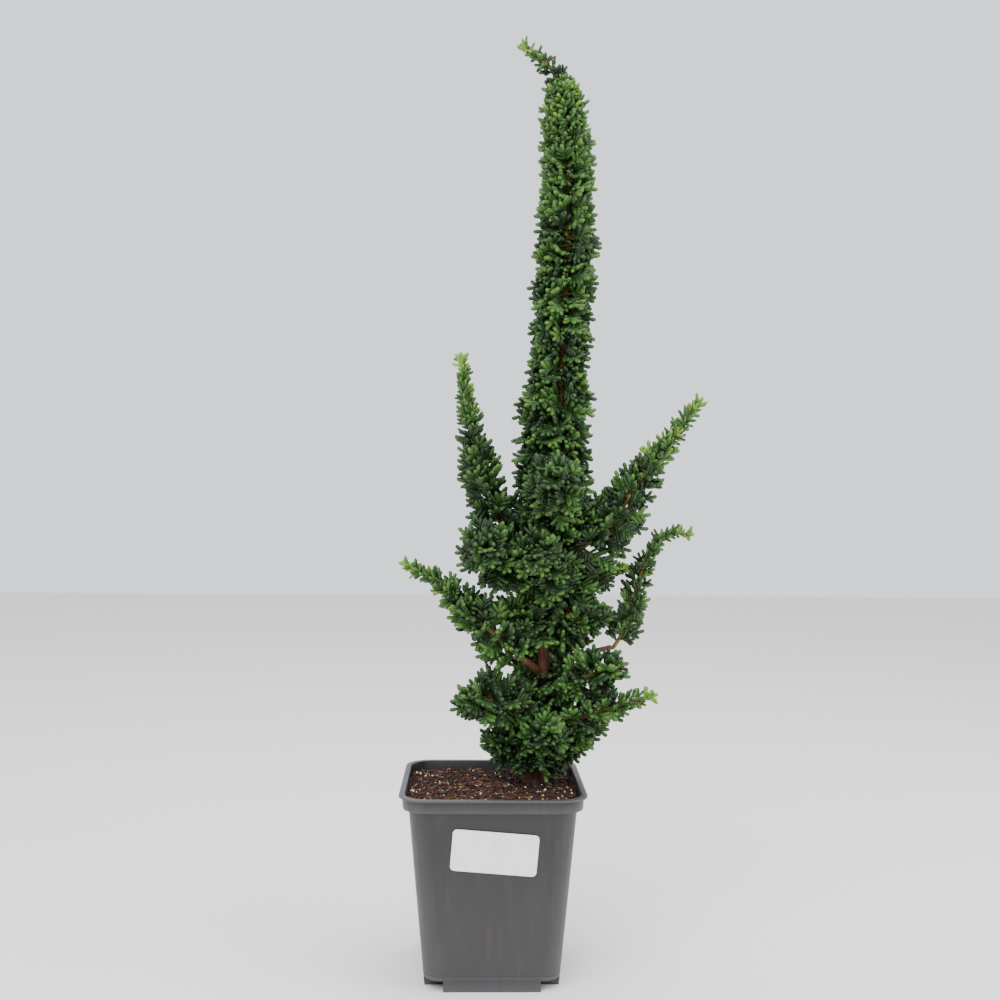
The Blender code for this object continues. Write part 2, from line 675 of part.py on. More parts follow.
def keep_one_body(target):
    """Fills sealed hollows and drops loose scraps: only the largest outer skin stays."""
    mesh = bmesh.new()
    mesh.from_mesh(target.data)
    bmesh.ops.triangulate(mesh, faces=mesh.faces)
    waiting = set(mesh.faces)
    bodies = []
    while waiting:
        body, frontier = set(), [waiting.pop()]
        while frontier:
            face = frontier.pop()
            body.add(face)
            near = {other for edge in face.edges for other in edge.link_faces} & waiting
            waiting -= near
            frontier.extend(near)
        bodies.append(body)
    bodies.sort(key=volume_of)
    bmesh.ops.delete(mesh, geom=[face for body in bodies[:-1] for face in body], context="FACES")
    mesh.to_mesh(target.data)
    mesh.free()


def rods_of(shoot, hub, spot):
    """Rods in place of a shoot's web, its neck and its thick end, for the test of what it would touch."""
    belly = shoot.belly(hub)
    tip = hub + shoot.aim * (shoot.length - shoot.radius * 0.4)
    web = (spot.lerp(belly, 0.35), belly, shoot.radius * 0.45)
    neck = (hub, belly, shoot.radius * 0.8)
    return web, neck, (belly, tip, shoot.radius)


def fits(mass, spot, hub, shoot, space):
    """True where a shoot keeps to its mass's space, above the pot and clear of all else."""
    tip = hub + shoot.aim * shoot.length
    lowest = min(tip.z, shoot.belly(hub).z - shoot.radius)
    if lowest < LOWEST_LEAF or not space.owned(mass.name, tip):
        return False
    rods = rods_of(shoot, hub, spot)
    return space.clear("", *rods[-1]) and all(space.clear(mass.name, *rod) for rod in rods)


def best_fan(mass, spot, target, space, rng):
    """The turn of a fan's plane that lets most of its shoots grow."""
    best = None
    first_turn = rng.uniform(0, math.tau)
    for k in range(FAN_TURNS):
        turn = first_turn + math.pi * k / FAN_TURNS
        root, hub, normal, shoots = fan(spot, target, mass.size, turn, rng)
        kept = [shoot for shoot in shoots if fits(mass, spot, hub, shoot, space)]
        if best is None or len(kept) > len(best[3]):
            best = root, hub, normal, kept
        if len(kept) == len(shoots):
            break
    return best


def build_mass(mass, line, space, greenery, clearance, targets=None):
    """Grows one mass along its stem, skipping what would leave its space or touch a neighbour."""
    rng = random.Random(mass.name)
    pieces = [core_of(mass, line)] if mass.core else []
    for spot, target in targets or aims(mass, line, rng):
        root, hub, normal, kept = best_fan(mass, spot, target, space, rng)
        if not kept:
            continue
        pieces.append(fan_mesh(root, hub, kept, normal))
        for rod in (rod for shoot in kept for rod in rods_of(shoot, hub, spot)):
            space.add(mass.name, *rod)
    whole = union(mass.name, tube(line, tapering(*stem_radii(mass)), STEM_SIDES), pieces, greenery)
    if not isinstance(mass.start, str):
        cut_away(whole, clearance, "MANIFOLD")
        apply_modifiers(whole)
    keep_one_body(whole)


def core_of(mass, line):
    """A spindle along the stem inside a dense mass."""
    reach_at = reach_of(mass)
    inner = line[1:] if isinstance(mass.start, str) else line[2:]

    def radius_at(t, _angle):
        return reach_at(t) * mass.core * math.sin(math.pi * (0.08 + 0.84 * t))

    return tube(inner, radius_at, CORE_SIDES)


def column_middle(height):
    return trunk_place(height) + Vector((between(COLUMN_SHIFT, height / MM) * MM, 0, 0))


def column_masses():
    """The masses round the leader, tier by tier, and each one's sector."""
    for tier, ((low, sectors), (high, _)) in enumerate(zip(COLUMN_TIERS, COLUMN_TIERS[1:])):
        for sector in range(sectors):
            facing = math.tau * (sector / sectors + tier / 6) + 0.5
            out = Vector((math.cos(facing), math.sin(facing), 0))
            start = low + sector * COLUMN_STAGGER
            middle = (low + high) / 2
            heights = [h + rise for h, rise in zip((start, middle, high), COLUMN_STEM_RISE)]
            points = tuple(trunk_place(h) + out * far for h, far in zip(heights, COLUMN_STEM_OUT))
            name = f"foliage_leader_{tier + 1}{'abc'[sector]}"
            reach = tuple(between(COLUMN_REACH, h / MM) * COLUMN_OVERLAP for h in (low, middle, high))
            mass = Mass(name, start, points, reach, COLUMN_SPRAYS, size=COLUMN_SIZE)
            yield mass, facing, math.tau / sectors, low, high


def column_aims(line, facing, width, low, high, rng):
    """Sprays from a stem beside the trunk to the column's outer face, within the sector."""
    for k in range(COLUMN_SPRAYS):
        share = (k + 0.5) / COLUMN_SPRAYS
        height = low + (high - low) * (0.04 + 0.94 * share)
        angle = facing + width * ((k * 0.618 + 0.2) % 1 - 0.5) * 0.86
        out = Vector((math.cos(angle), math.sin(angle), 0))
        rise = between(COLUMN_DROOP, height / MM) + rng.uniform(-0.1, 0.1)
        reach = between(COLUMN_REACH, height / MM) * MM
        target = column_middle(height) + out * reach + Vector((0, 0, rise * reach))
        root = min(line[2:], key=lambda p: abs(p.z - height))
        yield root, target


def main():
    for old in list(bpy.data.objects):
        bpy.data.objects.remove(old)
    plastic = make_material("anthracite_plastic", (0.075, 0.072, 0.075), 0.45)
    earth = make_material("bark_and_peat", (0.06, 0.025, 0.015), 0.95)
    paper = make_material("white_paper", (0.86, 0.82, 0.83), 0.6)
    bark = make_material("red_brown_bark", (0.2, 0.08, 0.04), 0.85)
    greenery = make_material("cypress_green", (0.035, 0.12, 0.025), 0.5)

    build_pot(plastic)
    build_soil(earth)
    build_label(paper)
    clearance = build_trunk(bark)

    lines = {"trunk": TRUNK}
    space = Space()
    space.add_line("trunk", TRUNK, trunk_radius)
    for bough in BOUGHS:
        build_bough(bough, bark, clearance)
        lines[bough.name] = bough_line(bough)
        space.add_line(bough.name, lines[bough.name], tapering(*bough.radii))

    grown = [(mass, stem_line(mass, lines), None) for mass in MASSES]
    for mass, *sector in column_masses():
        line = stem_line(mass, lines)
        rng = random.Random(mass.name + " aims")
        grown.append((mass, line, list(column_aims(line, *sector, rng))))
    for mass, line, _targets in grown:
        space.stems[mass.name] = (line, reach_of(mass))
        clear_part = line if isinstance(mass.start, str) else line[2:]
        space.add_line(mass.name, clear_part, tapering(*stem_radii(mass)))
    for mass, line, targets in grown:
        build_mass(mass, line, space, greenery, clearance, targets)


main()
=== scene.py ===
"""A sekka hinoki cypress bonsai in its nursery pot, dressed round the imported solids."""

import math

import bmesh
import bpy
import numpy as np
from mathutils import Matrix, Vector, noise


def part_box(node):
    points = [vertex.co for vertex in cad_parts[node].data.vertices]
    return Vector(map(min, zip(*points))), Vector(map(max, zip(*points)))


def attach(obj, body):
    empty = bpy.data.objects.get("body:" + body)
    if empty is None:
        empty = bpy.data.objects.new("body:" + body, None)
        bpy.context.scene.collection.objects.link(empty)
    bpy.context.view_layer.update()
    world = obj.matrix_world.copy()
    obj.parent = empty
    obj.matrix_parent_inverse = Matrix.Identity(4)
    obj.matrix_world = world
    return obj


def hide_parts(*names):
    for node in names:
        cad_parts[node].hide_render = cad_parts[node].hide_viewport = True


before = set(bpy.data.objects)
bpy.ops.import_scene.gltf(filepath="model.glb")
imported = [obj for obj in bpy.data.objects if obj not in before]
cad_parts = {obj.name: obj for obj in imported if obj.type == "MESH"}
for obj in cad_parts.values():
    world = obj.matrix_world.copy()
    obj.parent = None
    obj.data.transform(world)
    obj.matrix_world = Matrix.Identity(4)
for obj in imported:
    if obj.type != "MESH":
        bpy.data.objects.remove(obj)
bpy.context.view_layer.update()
bpy.ops.object.select_all(action="DESELECT")

# The view and the light
# The camera stands 0.73 m from the pot's middle, a little to its left, at half the tree's height.
# Three large soft panels and a pale room light the plant, and it stands on a pale painted floor.
MM = 0.001
CAMERA_PLACE = Vector((-0.01268, -0.72893, 0.28350))
CAMERA_PITCH, CAMERA_YAW, CAMERA_ROLL = -0.00450, -0.02232, 0.00696  # in radians
CAMERA_LENS = 42.56
CAMERA_SENSOR = 36
FLOOR_SIZE = 6.0
ROOM_GLOW = 1.5
LIT_PLACE = Vector((0.02, 0, 0.3))  # every panel faces it
PANELS = (  # name, place, width in metres, power in watts
    ("front_panel", (-0.5, -1.1, 1.3), 1.2, 26),
    ("side_panel", (1.1, -0.4, 1.0), 0.9, 10),
    ("top_panel", (0.1, 0.2, 1.6), 1.0, 12),
)


def linear(code):
    """An sRGB hex colour as linear light."""
    parts = [int(code[i:i + 2], 16) / 255 for i in (1, 3, 5)]
    return tuple(p / 12.92 if p <= 0.04045 else ((p + 0.055) / 1.055) ** 2.4 for p in parts) + (1,)


def node(tree, kind, settings=(), links=()):
    """Adds a node: its settings by property, socket or colour stops, and the sockets that feed it."""
    made = tree.nodes.new(kind)
    for key, value in dict(settings).items():
        if key == "stops":
            bar = made.color_ramp.elements
            while len(bar) < len(value):
                bar.new(0.5)
            for element, (place, colour) in zip(bar, value):
                element.position = place
                element.color = linear(colour)
        elif isinstance(key, str) and hasattr(made, key):
            setattr(made, key, value)
        else:
            made.inputs[key].default_value = value
    for key, source in dict(links).items():
        tree.links.new(source, made.inputs[key])
    return made


def new_material(name, roughness, specular=0.5):
    """A material with its node tree, its shader and the place on the piece that patterns read."""
    material = bpy.data.materials.new(name)
    material.use_nodes = True
    tree = material.node_tree
    shader = tree.nodes["Principled BSDF"]
    shader.inputs["Roughness"].default_value = roughness
    shader.inputs["Specular IOR Level"].default_value = specular
    place = node(tree, "ShaderNodeTexCoord").outputs["Object"]
    return material, tree, shader, place


camera_data = bpy.data.cameras.new("camera")
camera_data.sensor_width = CAMERA_SENSOR
camera_data.lens = CAMERA_LENS
camera = bpy.data.objects.new("camera", camera_data)
bpy.context.scene.collection.objects.link(camera)
yaw_cos, yaw_sin = math.cos(CAMERA_YAW), math.sin(CAMERA_YAW)
pitch_cos, pitch_sin = math.cos(CAMERA_PITCH), math.sin(CAMERA_PITCH)
right = Vector((yaw_cos, yaw_sin, 0))
ahead = Vector((-yaw_sin * pitch_cos, yaw_cos * pitch_cos, -pitch_sin))
above = Vector((-yaw_sin * pitch_sin, yaw_cos * pitch_sin, pitch_cos))
roll_cos, roll_sin = math.cos(CAMERA_ROLL), math.sin(CAMERA_ROLL)
axes = (right * roll_cos + above * roll_sin, above * roll_cos - right * roll_sin, -ahead)
camera.matrix_world = Matrix.Translation(CAMERA_PLACE) @ Matrix(axes).transposed().to_4x4()
bpy.context.scene.camera = camera

bpy.ops.mesh.primitive_plane_add(size=FLOOR_SIZE, location=(0, 0, 0))
floor = bpy.context.object
floor.name = "floor"
floor_material, tree, shader, place = new_material("matt_painted_floor", 0.9, 0.2)
shader.inputs["Base Color"].default_value = linear("#efe9e4")
floor.data.materials.append(floor_material)

world = bpy.data.worlds.new("pale room")
world.use_nodes = True
world.node_tree.nodes["Background"].inputs["Color"].default_value = linear("#eff3fa")
world.node_tree.nodes["Background"].inputs["Strength"].default_value = ROOM_GLOW
bpy.context.scene.world = world
for name, spot, size, power in PANELS:
    light_data = bpy.data.lights.new(name, "AREA")
    light_data.size = size
    light_data.energy = power
    light = bpy.data.objects.new(name, light_data)
    light.location = spot
    light.rotation_euler = (LIT_PLACE - Vector(spot)).to_track_quat("-Z", "Y").to_euler()
    bpy.context.scene.collection.objects.link(light)

# The pot
# A square injection-moulded polypropylene pot: satin anthracite, thin walls with a stiff band and lip
# round the rim, and feet between stepped corners. Handling and watering leave it faintly streaked.
POT_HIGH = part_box("pot")[1]
POT_HEIGHT = POT_HIGH.z
LIP_HALF = POT_HIGH.x
BAND_HALF = LIP_HALF - 1.8 * MM
NECK_HALF = LIP_HALF - 5.6 * MM
FOOT_HALF = LIP_HALF - 15.2 * MM
FOOT_CORNER = 11 * MM
NECK_HEIGHT = POT_HEIGHT - 8.8 * MM
WALL = 1.5 * MM
INSIDE_FLOOR = POT_HEIGHT - 14 * MM  # the soil hides the rest
CORNER_STEP = 28.5 * MM  # the foot steps up at each corner, from here outwards
STEP_HEIGHT = 6.6 * MM
STEP_BLOCK = 60 * MM  # the width of the block that cuts a corner step
SEAM_HEIGHT = 9 * MM  # where the mould's foot insert leaves a line
ROUNDED_EDGE = 0.35 * MM
ROUNDED_FROM = math.radians(38)  # edges that turn by more than this are rounded
CREASED_FROM = math.radians(30)  # and past this the shading shows a crease
POT_PROFILE = (  # half the width and the height: up the outside, over the lip and down the inside
    (FOOT_HALF + 0.82 * MM, SEAM_HEIGHT),
    (FOOT_HALF + 0.7 * MM, SEAM_HEIGHT + 0.2 * MM),
    (FOOT_HALF + 0.87 * MM, SEAM_HEIGHT + 0.5 * MM),
    (NECK_HALF, NECK_HEIGHT),
    (BAND_HALF - 0.5 * MM, NECK_HEIGHT + 0.8 * MM),
    (BAND_HALF, POT_HEIGHT - 1.2 * MM),
    (LIP_HALF, POT_HEIGHT - 1.0 * MM),
    (LIP_HALF, POT_HEIGHT),
    (BAND_HALF - WALL, POT_HEIGHT),
    (BAND_HALF - WALL, NECK_HEIGHT + 3 * MM),
    (NECK_HALF - WALL, NECK_HEIGHT - MM),
    (NECK_HALF - WALL - 0.6 * MM, INSIDE_FLOOR),
)


def pick(piece):
    """Selects one piece and nothing else."""
    bpy.ops.object.select_all(action="DESELECT")
    bpy.context.view_layer.objects.active = piece
    piece.select_set(True)


def edit(piece):
    pick(piece)
    bpy.ops.object.mode_set(mode="EDIT")


def done():
    bpy.ops.object.mode_set(mode="OBJECT")
    bpy.ops.object.select_all(action="DESELECT")


def settle(piece):
    """Puts a piece's place into its mesh."""
    pick(piece)
    bpy.ops.object.transform_apply(location=True, rotation=True, scale=True)
    bpy.ops.object.select_all(action="DESELECT")


def apply_all(piece):
    bpy.context.view_layer.objects.active = piece
    for modifier in list(piece.modifiers):
        bpy.ops.object.modifier_apply(modifier=modifier.name)


def ride_on_root(piece, slot_name, *nodes):
    """Fixes a piece to the plant's one body, in place of the solids that it stands for."""
    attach(piece, "root")
    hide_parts(*nodes)


bpy.ops.mesh.primitive_plane_add(size=2 * FOOT_HALF, location=(0, 0, 0))
pot = bpy.context.object
pot.name = "nursery_pot"
edit(pot)
bpy.ops.mesh.select_all(action="SELECT")
bpy.ops.mesh.bevel(offset=FOOT_CORNER, segments=6, affect="VERTICES")
bpy.ops.mesh.select_all(action="SELECT")
half, height = FOOT_HALF, 0.0
for next_half, next_height in POT_PROFILE:
    bpy.ops.mesh.extrude_region_move(TRANSFORM_OT_translate={"value": (0, 0, next_height - height)})
    share = next_half / half
    bpy.ops.transform.resize(value=(share, share, 1), center_override=(0, 0, next_height))
    half, height = next_half, next_height
bpy.ops.mesh.select_all(action="SELECT")
bpy.ops.mesh.normals_make_consistent(inside=False)
done()
for sx in (-1, 1):
    for sy in (-1, 1):
        bpy.ops.mesh.primitive_cube_add(size=1, location=(0, 0, 0))
        notch = bpy.context.object
        notch.scale = (STEP_BLOCK, STEP_BLOCK, 2 * STEP_HEIGHT)
        middle = CORNER_STEP + STEP_BLOCK / 2
        notch.location = (sx * middle, sy * middle, 0)
        settle(notch)
        cut = pot.modifiers.new("corner step", "BOOLEAN")
        cut.object = notch
        cut.solver = "EXACT"
        apply_all(pot)
        bpy.data.objects.remove(notch)
edges = pot.modifiers.new("moulded edges", "BEVEL")
edges.width = ROUNDED_EDGE
edges.segments = 2
edges.limit_method = "ANGLE"
edges.angle_limit = ROUNDED_FROM
apply_all(pot)
edit(pot)
bpy.ops.mesh.select_all(action="SELECT")
bpy.ops.mesh.remove_doubles(threshold=0.00001)
bpy.ops.mesh.normals_make_consistent(inside=False)
done()
pick(pot)
bpy.ops.object.shade_smooth_by_angle(angle=CREASED_FROM)
bpy.ops.object.select_all(action="DESELECT")

# Moulded polypropylene: satin, with a fine grain of 0.4 mm that softens its gloss. A dust film in
# patches 20 mm across dulls it, and with drip streaks 3 mm wide and 45 mm long it lightens it.
moulded, tree, shader, place = new_material("moulded_polypropylene", 0.42)
film = node(tree, "ShaderNodeTexNoise", {"Scale": 1000 / 20, "Detail": 6, "Roughness": 0.6},
            {"Vector": place})
streak_map = node(tree, "ShaderNodeMapping", {"Scale": (330, 330, 22)}, {"Vector": place})
streaks = node(tree, "ShaderNodeTexNoise", {"Scale": 1, "Detail": 3}, {"Vector": streak_map.outputs[0]})
dust = node(tree, "ShaderNodeMath", {"operation": "MULTIPLY"},
            {0: film.outputs["Fac"], 1: streaks.outputs["Fac"]})
base = node(tree, "ShaderNodeValToRGB",
            {"stops": ((0.1, "#1c1b1d"), (0.3, "#222123"), (0.55, "#323032"))}, {"Fac": dust.outputs[0]})
# Its outer edges are rubbed paler
edge = node(tree, "ShaderNodeNewGeometry").outputs["Pointiness"]
worn = node(tree, "ShaderNodeValToRGB", {"stops": ((0.5, "#000000"), (0.58, "#6a696c"))}, {"Fac": edge})
tint = node(tree, "ShaderNodeMix", {"data_type": "RGBA", "blend_type": "SCREEN", 0: 0.5},
            {6: base.outputs["Color"], 7: worn.outputs["Color"]})
tree.links.new(tint.outputs[2], shader.inputs["Base Color"])
dull = node(tree, "ShaderNodeMapRange", {"To Min": 0.34, "To Max": 0.6}, {"Value": film.outputs["Fac"]})
tree.links.new(dull.outputs[0], shader.inputs["Roughness"])
grain = node(tree, "ShaderNodeTexNoise", {"Scale": 1000 / 0.4, "Detail": 2}, {"Vector": place})
bump = node(tree, "ShaderNodeBump", {"Strength": 0.08, "Distance": 0.0001}, {"Height": grain.outputs["Fac"]})
tree.links.new(bump.outputs[0], shader.inputs["Normal"])
pot.data.materials.append(moulded)
ride_on_root(pot, "pot_plastic", "pot")

# The label
# A coated paper sticker, left bare. It lies on the pot's front wall, slightly askew.
# The coating gives it an even, low gloss, with faint mottling about 8 mm across.
paper, tree, shader, place = new_material("coated_paper", 0.55)
mottle = node(tree, "ShaderNodeTexNoise", {"Scale": 120, "Detail": 4}, {"Vector": place})
white = node(tree, "ShaderNodeValToRGB", {"stops": ((0.3, "#e6e1e6"), (0.7, "#f1eef2"))},
             {"Fac": mottle.outputs["Fac"]})
tree.links.new(white.outputs["Color"], shader.inputs["Base Color"])
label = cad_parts["label"]
label.data.materials.clear()
label.data.materials.append(paper)

# The soil
# Moist peat and shredded bark, lumpy, strewn with bark chips, fibres and pale grains of perlite.
# It fills the pot to a few millimetres under the rim and is pressed flat round the trunk.
SOIL_HALF = BAND_HALF - WALL - 0.9 * MM
SOIL_CORNER = 12 * MM
SOIL_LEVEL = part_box("soil")[1].z - 0.9 * MM
SOIL_DEEP = 1.2 * MM
SOIL_CELLS = 120
TRUNK_FOOT = Vector((27 * MM, 18 * MM))
PRESSED = 14 * MM  # the lumps fade out this close to the trunk
LUMP_RISE, LUMPS_A_METRE = 1.8 * MM, 60
CRUMB_RISE, CRUMBS_A_METRE = 0.9 * MM, 330
SPECK_RISE, SPECKS_A_METRE = 0.5 * MM, 900


def soil_surface(x, y):
    """The lumpy surface's height."""
    lumps = LUMP_RISE * noise.noise(Vector((x, y, 0)) * LUMPS_A_METRE)
    crumbs = CRUMB_RISE * noise.noise(Vector((x, y, 0.3)) * CRUMBS_A_METRE)
    crumbs += SPECK_RISE * noise.noise(Vector((x, y, 0.7)) * SPECKS_A_METRE)
    calm = min((Vector((x, y)) - TRUNK_FOOT).length / PRESSED, 1)
    return SOIL_LEVEL + lumps * calm + crumbs


bpy.ops.mesh.primitive_grid_add(x_subdivisions=SOIL_CELLS, y_subdivisions=SOIL_CELLS, size=2 * SOIL_HALF,
                                location=(0, 0, SOIL_LEVEL))
soil = bpy.context.object
soil.name = "peat_and_bark_soil"
settle(soil)
for vert in soil.data.vertices:
    x, y = vert.co.xy
    over = Vector((max(abs(x) - SOIL_HALF + SOIL_CORNER, 0), max(abs(y) - SOIL_HALF + SOIL_CORNER, 0)))
    if over.length > SOIL_CORNER:
        pulled = over * (SOIL_CORNER / over.length)
        x = math.copysign(abs(x) - over.x + pulled.x, x)
        y = math.copysign(abs(y) - over.y + pulled.y, y)
    vert.co = (x, y, soil_surface(x, y))
thick = soil.modifiers.new("depth", "SOLIDIFY")
thick.thickness = SOIL_DEEP
thick.offset = -1
apply_all(soil)
# Moist peat is dull. Its crumbs of 2 mm run from near-black through red-brown to straw.
peat, tree, shader, place = new_material("peat_and_bark", 0.92, 0.3)
crumb = node(tree, "ShaderNodeTexNoise", {"Scale": 1000 / 2, "Detail": 8, "Roughness": 0.7},
             {"Vector": place})
browns = node(tree, "ShaderNodeValToRGB", {"stops": (
    (0.3, "#100907"), (0.46, "#26130e"), (0.56, "#3f1f15"), (0.64, "#6a3f2a"), (0.74, "#a58360"),
)}, {"Fac": crumb.outputs["Fac"]})
tree.links.new(browns.outputs["Color"], shader.inputs["Base Color"])
bump = node(tree, "ShaderNodeBump", {"Strength": 0.8, "Distance": 0.0008}, {"Height": crumb.outputs["Fac"]})
tree.links.new(bump.outputs[0], shader.inputs["Normal"])
soil.data.materials.append(peat)
ride_on_root(soil, "soil", "soil")

# What is strewn on it: bark and peat stay dark, and perlite, straw and ochre grains fleck them
CHIP_KINDS = (  # name, material, its two tones, how many, half the length in millimetres, flatness
    ("bark_chips", "shredded_bark", ("#25110c", "#522a1b"), 800, (0.9, 2.4), 0.35),
    ("dark_peat_crumbs", "black_peat", ("#0f0807", "#261712"), 900, (0.8, 1.8), 0.7),
    ("perlite_grains", "expanded_perlite", ("#d9cfc0", "#f0e9de"), 55, (0.6, 1.3), 0.8),
    ("straw_fibres", "dry_straw", ("#6a4630", "#a8845c"), 240, (1.5, 4.5), 0.05),
    ("ochre_grains", "ochre_bark_dust", ("#8a6a44", "#c2a678"), 130, (0.5, 1.2), 0.8),
)
FIBRE_FLATNESS = 0.1  # what is flatter than this is a fibre
FIBRE_WIDTH = 0.07  # against its length
CHIP_WIDTHS = (0.4, 0.9)
CHIP_ROUGHNESS = (0.8, 1.2)
CHIP_TILTS = (("X", 0.6), ("Y", 0.5))  # how far a chip may lean, in radians
CHIP_LIFT = 0.2  # a chip's middle lies this far over the soil, against half its length
CHIP_SPOTS = 1.5  # in millimetres
EDGE_ROOM = 2 * MM  # between the strewn grains and the soil's edge
random = np.random.default_rng(11)


def gather(name, pieces, material):
    """One object from many small meshes given as (vertices, faces)."""
    corners, polygons, first = [], [], 0
    for verts, faces in pieces:
        corners.append(verts)
        polygons.append(np.asarray(faces) + first)
        first += len(verts)
    data = bpy.data.meshes.new(name)
    places = np.concatenate(corners).astype(np.float32)
    faces = np.concatenate(polygons).astype(np.int32)
    data.vertices.add(len(places))
    data.vertices.foreach_set("co", places.ravel())
    data.loops.add(faces.size)
    data.loops.foreach_set("vertex_index", faces.ravel())
    data.polygons.add(len(faces))
    data.polygons.foreach_set("loop_start", np.arange(len(faces), dtype=np.int32) * faces.shape[1])
    data.update(calc_edges=True)
    data.materials.append(material)
    made = bpy.data.objects.new(name, data)
    bpy.context.scene.collection.objects.link(made)
    return made


def mottled(name, dark, light, size_mm, roughness=0.8, relief=0.3):
    """A dull natural surface of two tones, in spots of a given size that also stand up a little."""
    material, tree, shader, place = new_material(name, roughness, 0.35)
    spots = node(tree, "ShaderNodeTexNoise", {"Scale": 1000 / size_mm, "Detail": 4}, {"Vector": place})
    tones = node(tree, "ShaderNodeValToRGB", {"stops": ((0.35, dark), (0.65, light))},
                 {"Fac": spots.outputs["Fac"]})
    tree.links.new(tones.outputs["Color"], shader.inputs["Base Color"])
    bump = node(tree, "ShaderNodeBump", {"Strength": relief, "Distance": 0.0003},
                {"Height": spots.outputs["Fac"]})
    tree.links.new(bump.outputs[0], shader.inputs["Normal"])
    return material


ball = bmesh.new()
bmesh.ops.create_icosphere(ball, subdivisions=1, radius=1)
BALL_VERTS = np.array([v.co for v in ball.verts])
BALL_FACES = np.array([[v.index for v in f.verts] for f in ball.faces])
ball.free()
for name, stuff, tones, count, sizes, flatness in CHIP_KINDS:
    chips = []
    while len(chips) < count:
        x, y = random.uniform(-SOIL_HALF + EDGE_ROOM, SOIL_HALF - EDGE_ROOM, 2)
        if abs(x) + abs(y) > 2 * SOIL_HALF - SOIL_CORNER:
            continue
        size = random.uniform(*sizes) * MM
        turn = Matrix.Rotation(random.uniform(0, math.tau), 3, "Z")
        for axis, tilt in CHIP_TILTS:
            turn = turn @ Matrix.Rotation(random.uniform(-tilt, tilt), 3, axis)
        width = random.uniform(*CHIP_WIDTHS) if flatness > FIBRE_FLATNESS else FIBRE_WIDTH
        shape = BALL_VERTS * np.array((1, width, flatness))
        shape = shape * random.uniform(*CHIP_ROUGHNESS, (len(shape), 1)) * size
        middle = (x, y, soil_surface(x, y) + CHIP_LIFT * size)
        chips.append((shape @ np.array(turn).T + middle, BALL_FACES))
    made = gather(name, chips, mottled(stuff, *tones, CHIP_SPOTS))
    ride_on_root(made, "soil", "soil")

# The trunk and boughs
# Thin flaking cypress bark: red-brown and ridged below, olive and then green towards the top.
# The trunk tapers from a root flare 15 mm across and leans a little to the right. Its boughs are bent.
GOLDEN_ANGLE = math.radians(137.5)
LIMB_STEP = 1.2 * MM  # between the rings of a limb
FLARE_WIDTH = 3.4  # what the root flare adds to the trunk's radius, in millimetres
FLARE_HEIGHT = 7 * MM
TRUNK_SIDES, TRUNK_RELIEF = 20, 0.09
BOUGH_SIDES, BOUGH_RELIEF = 14, 0.08
FLAKES_ACROSS = 3  # how fine the ridges are across a limb, against its radius
FLAKES_A_METRE = 60  # and along it
FLAKE_NOISE = (0.9, 2.2, 4, 1.0, 2.0)  # its dimension, lacunarity, octaves, offset and gain
CURVE_STEPS = 12  # from one point of a line to the next


def mm(x, y, z):
    """A place given in millimetres."""
    return Vector((x, y, z)) * MM


TRUNK_LINE = (
    mm(27, 18, 108.5), mm(31, 17, 167), mm(34.5, 15.5, 215), mm(38, 13.5, 270),
    mm(41.5, 10.5, 350), mm(44, 7, 430), mm(45, 5, 486), mm(44, 3.5, 520), mm(42, 3, 539),
)
TRUNK_WIDTHS = ((0, 4.9), (0.16, 3.6), (0.3, 2.3), (0.6, 1.6), (1, 0.9))  # radii, by share of its length
BOUGHS = (  # name, the height where it leaves the trunk, its elbow and end, its radii
    ("left_spire", 240, mm(22, 13, 252), mm(13, 9, 262), (2.3, 1.5)),
    ("left_clump", 226, mm(22, 9, 235), mm(15, 5, 241), (2.1, 1.6)),
    ("left_arm", 175, mm(26, 12, 182), mm(20, 7, 187), (2.7, 2.0)),
    ("left_low", 149, mm(23, 11, 155), mm(16, 6, 158), (2.3, 1.5)),
    ("right_spire", 243, mm(43, 13, 249), mm(49, 12, 253), (2.3, 1.5)),
    ("right_candle", 186, mm(58, 19, 190), mm(75, 20, 194), (2.2, 1.4)),
    ("right_inner", 163, mm(41, 11, 170), mm(47, 7, 173), (2.3, 1.5)),
    ("right_low", 140, mm(38, 12, 145), mm(44, 8, 148), (2.3, 1.5)),
    ("front_clump", 266, mm(38.8, 6, 277), mm(39, 1, 284), (1.9, 1.5)),
    ("back_spire", 235, mm(38, 23, 245), mm(40, 29, 252), (2.3, 1.5)),
    ("back_arm", 170, mm(32, 26, 178), mm(31, 32, 184), (2.5, 1.9)),
)


def between(table, at):
    """The value at a place in a table of (place, value) pairs."""
    places, values = zip(*table)
    return np.interp(at, places, values)


def smooth_line(points, step):
    """Places about a step apart along a Catmull-Rom curve through the points given."""
    ends = [points[0] * 2 - points[1], *points, points[-1] * 2 - points[-2]]
    dense = []
    for a, b, c, d in zip(ends, ends[1:], ends[2:], ends[3:]):
        for k in range(CURVE_STEPS):
            t = k / CURVE_STEPS
            dense.append(0.5 * (2 * b + (c - a) * t + (2 * a - 5 * b + 4 * c - d) * t**2
                                + (3 * b - a - 3 * c + d) * t**3))
    dense.append(points[-1])
    dense = np.array(dense)
    run = np.concatenate([[0], np.cumsum(np.linalg.norm(np.diff(dense, axis=0), axis=1))])
    even = np.linspace(0, run[-1], max(int(run[-1] / step), 2) + 1)
    return np.stack([np.interp(even, run, dense[:, axis]) for axis in range(3)], 1)


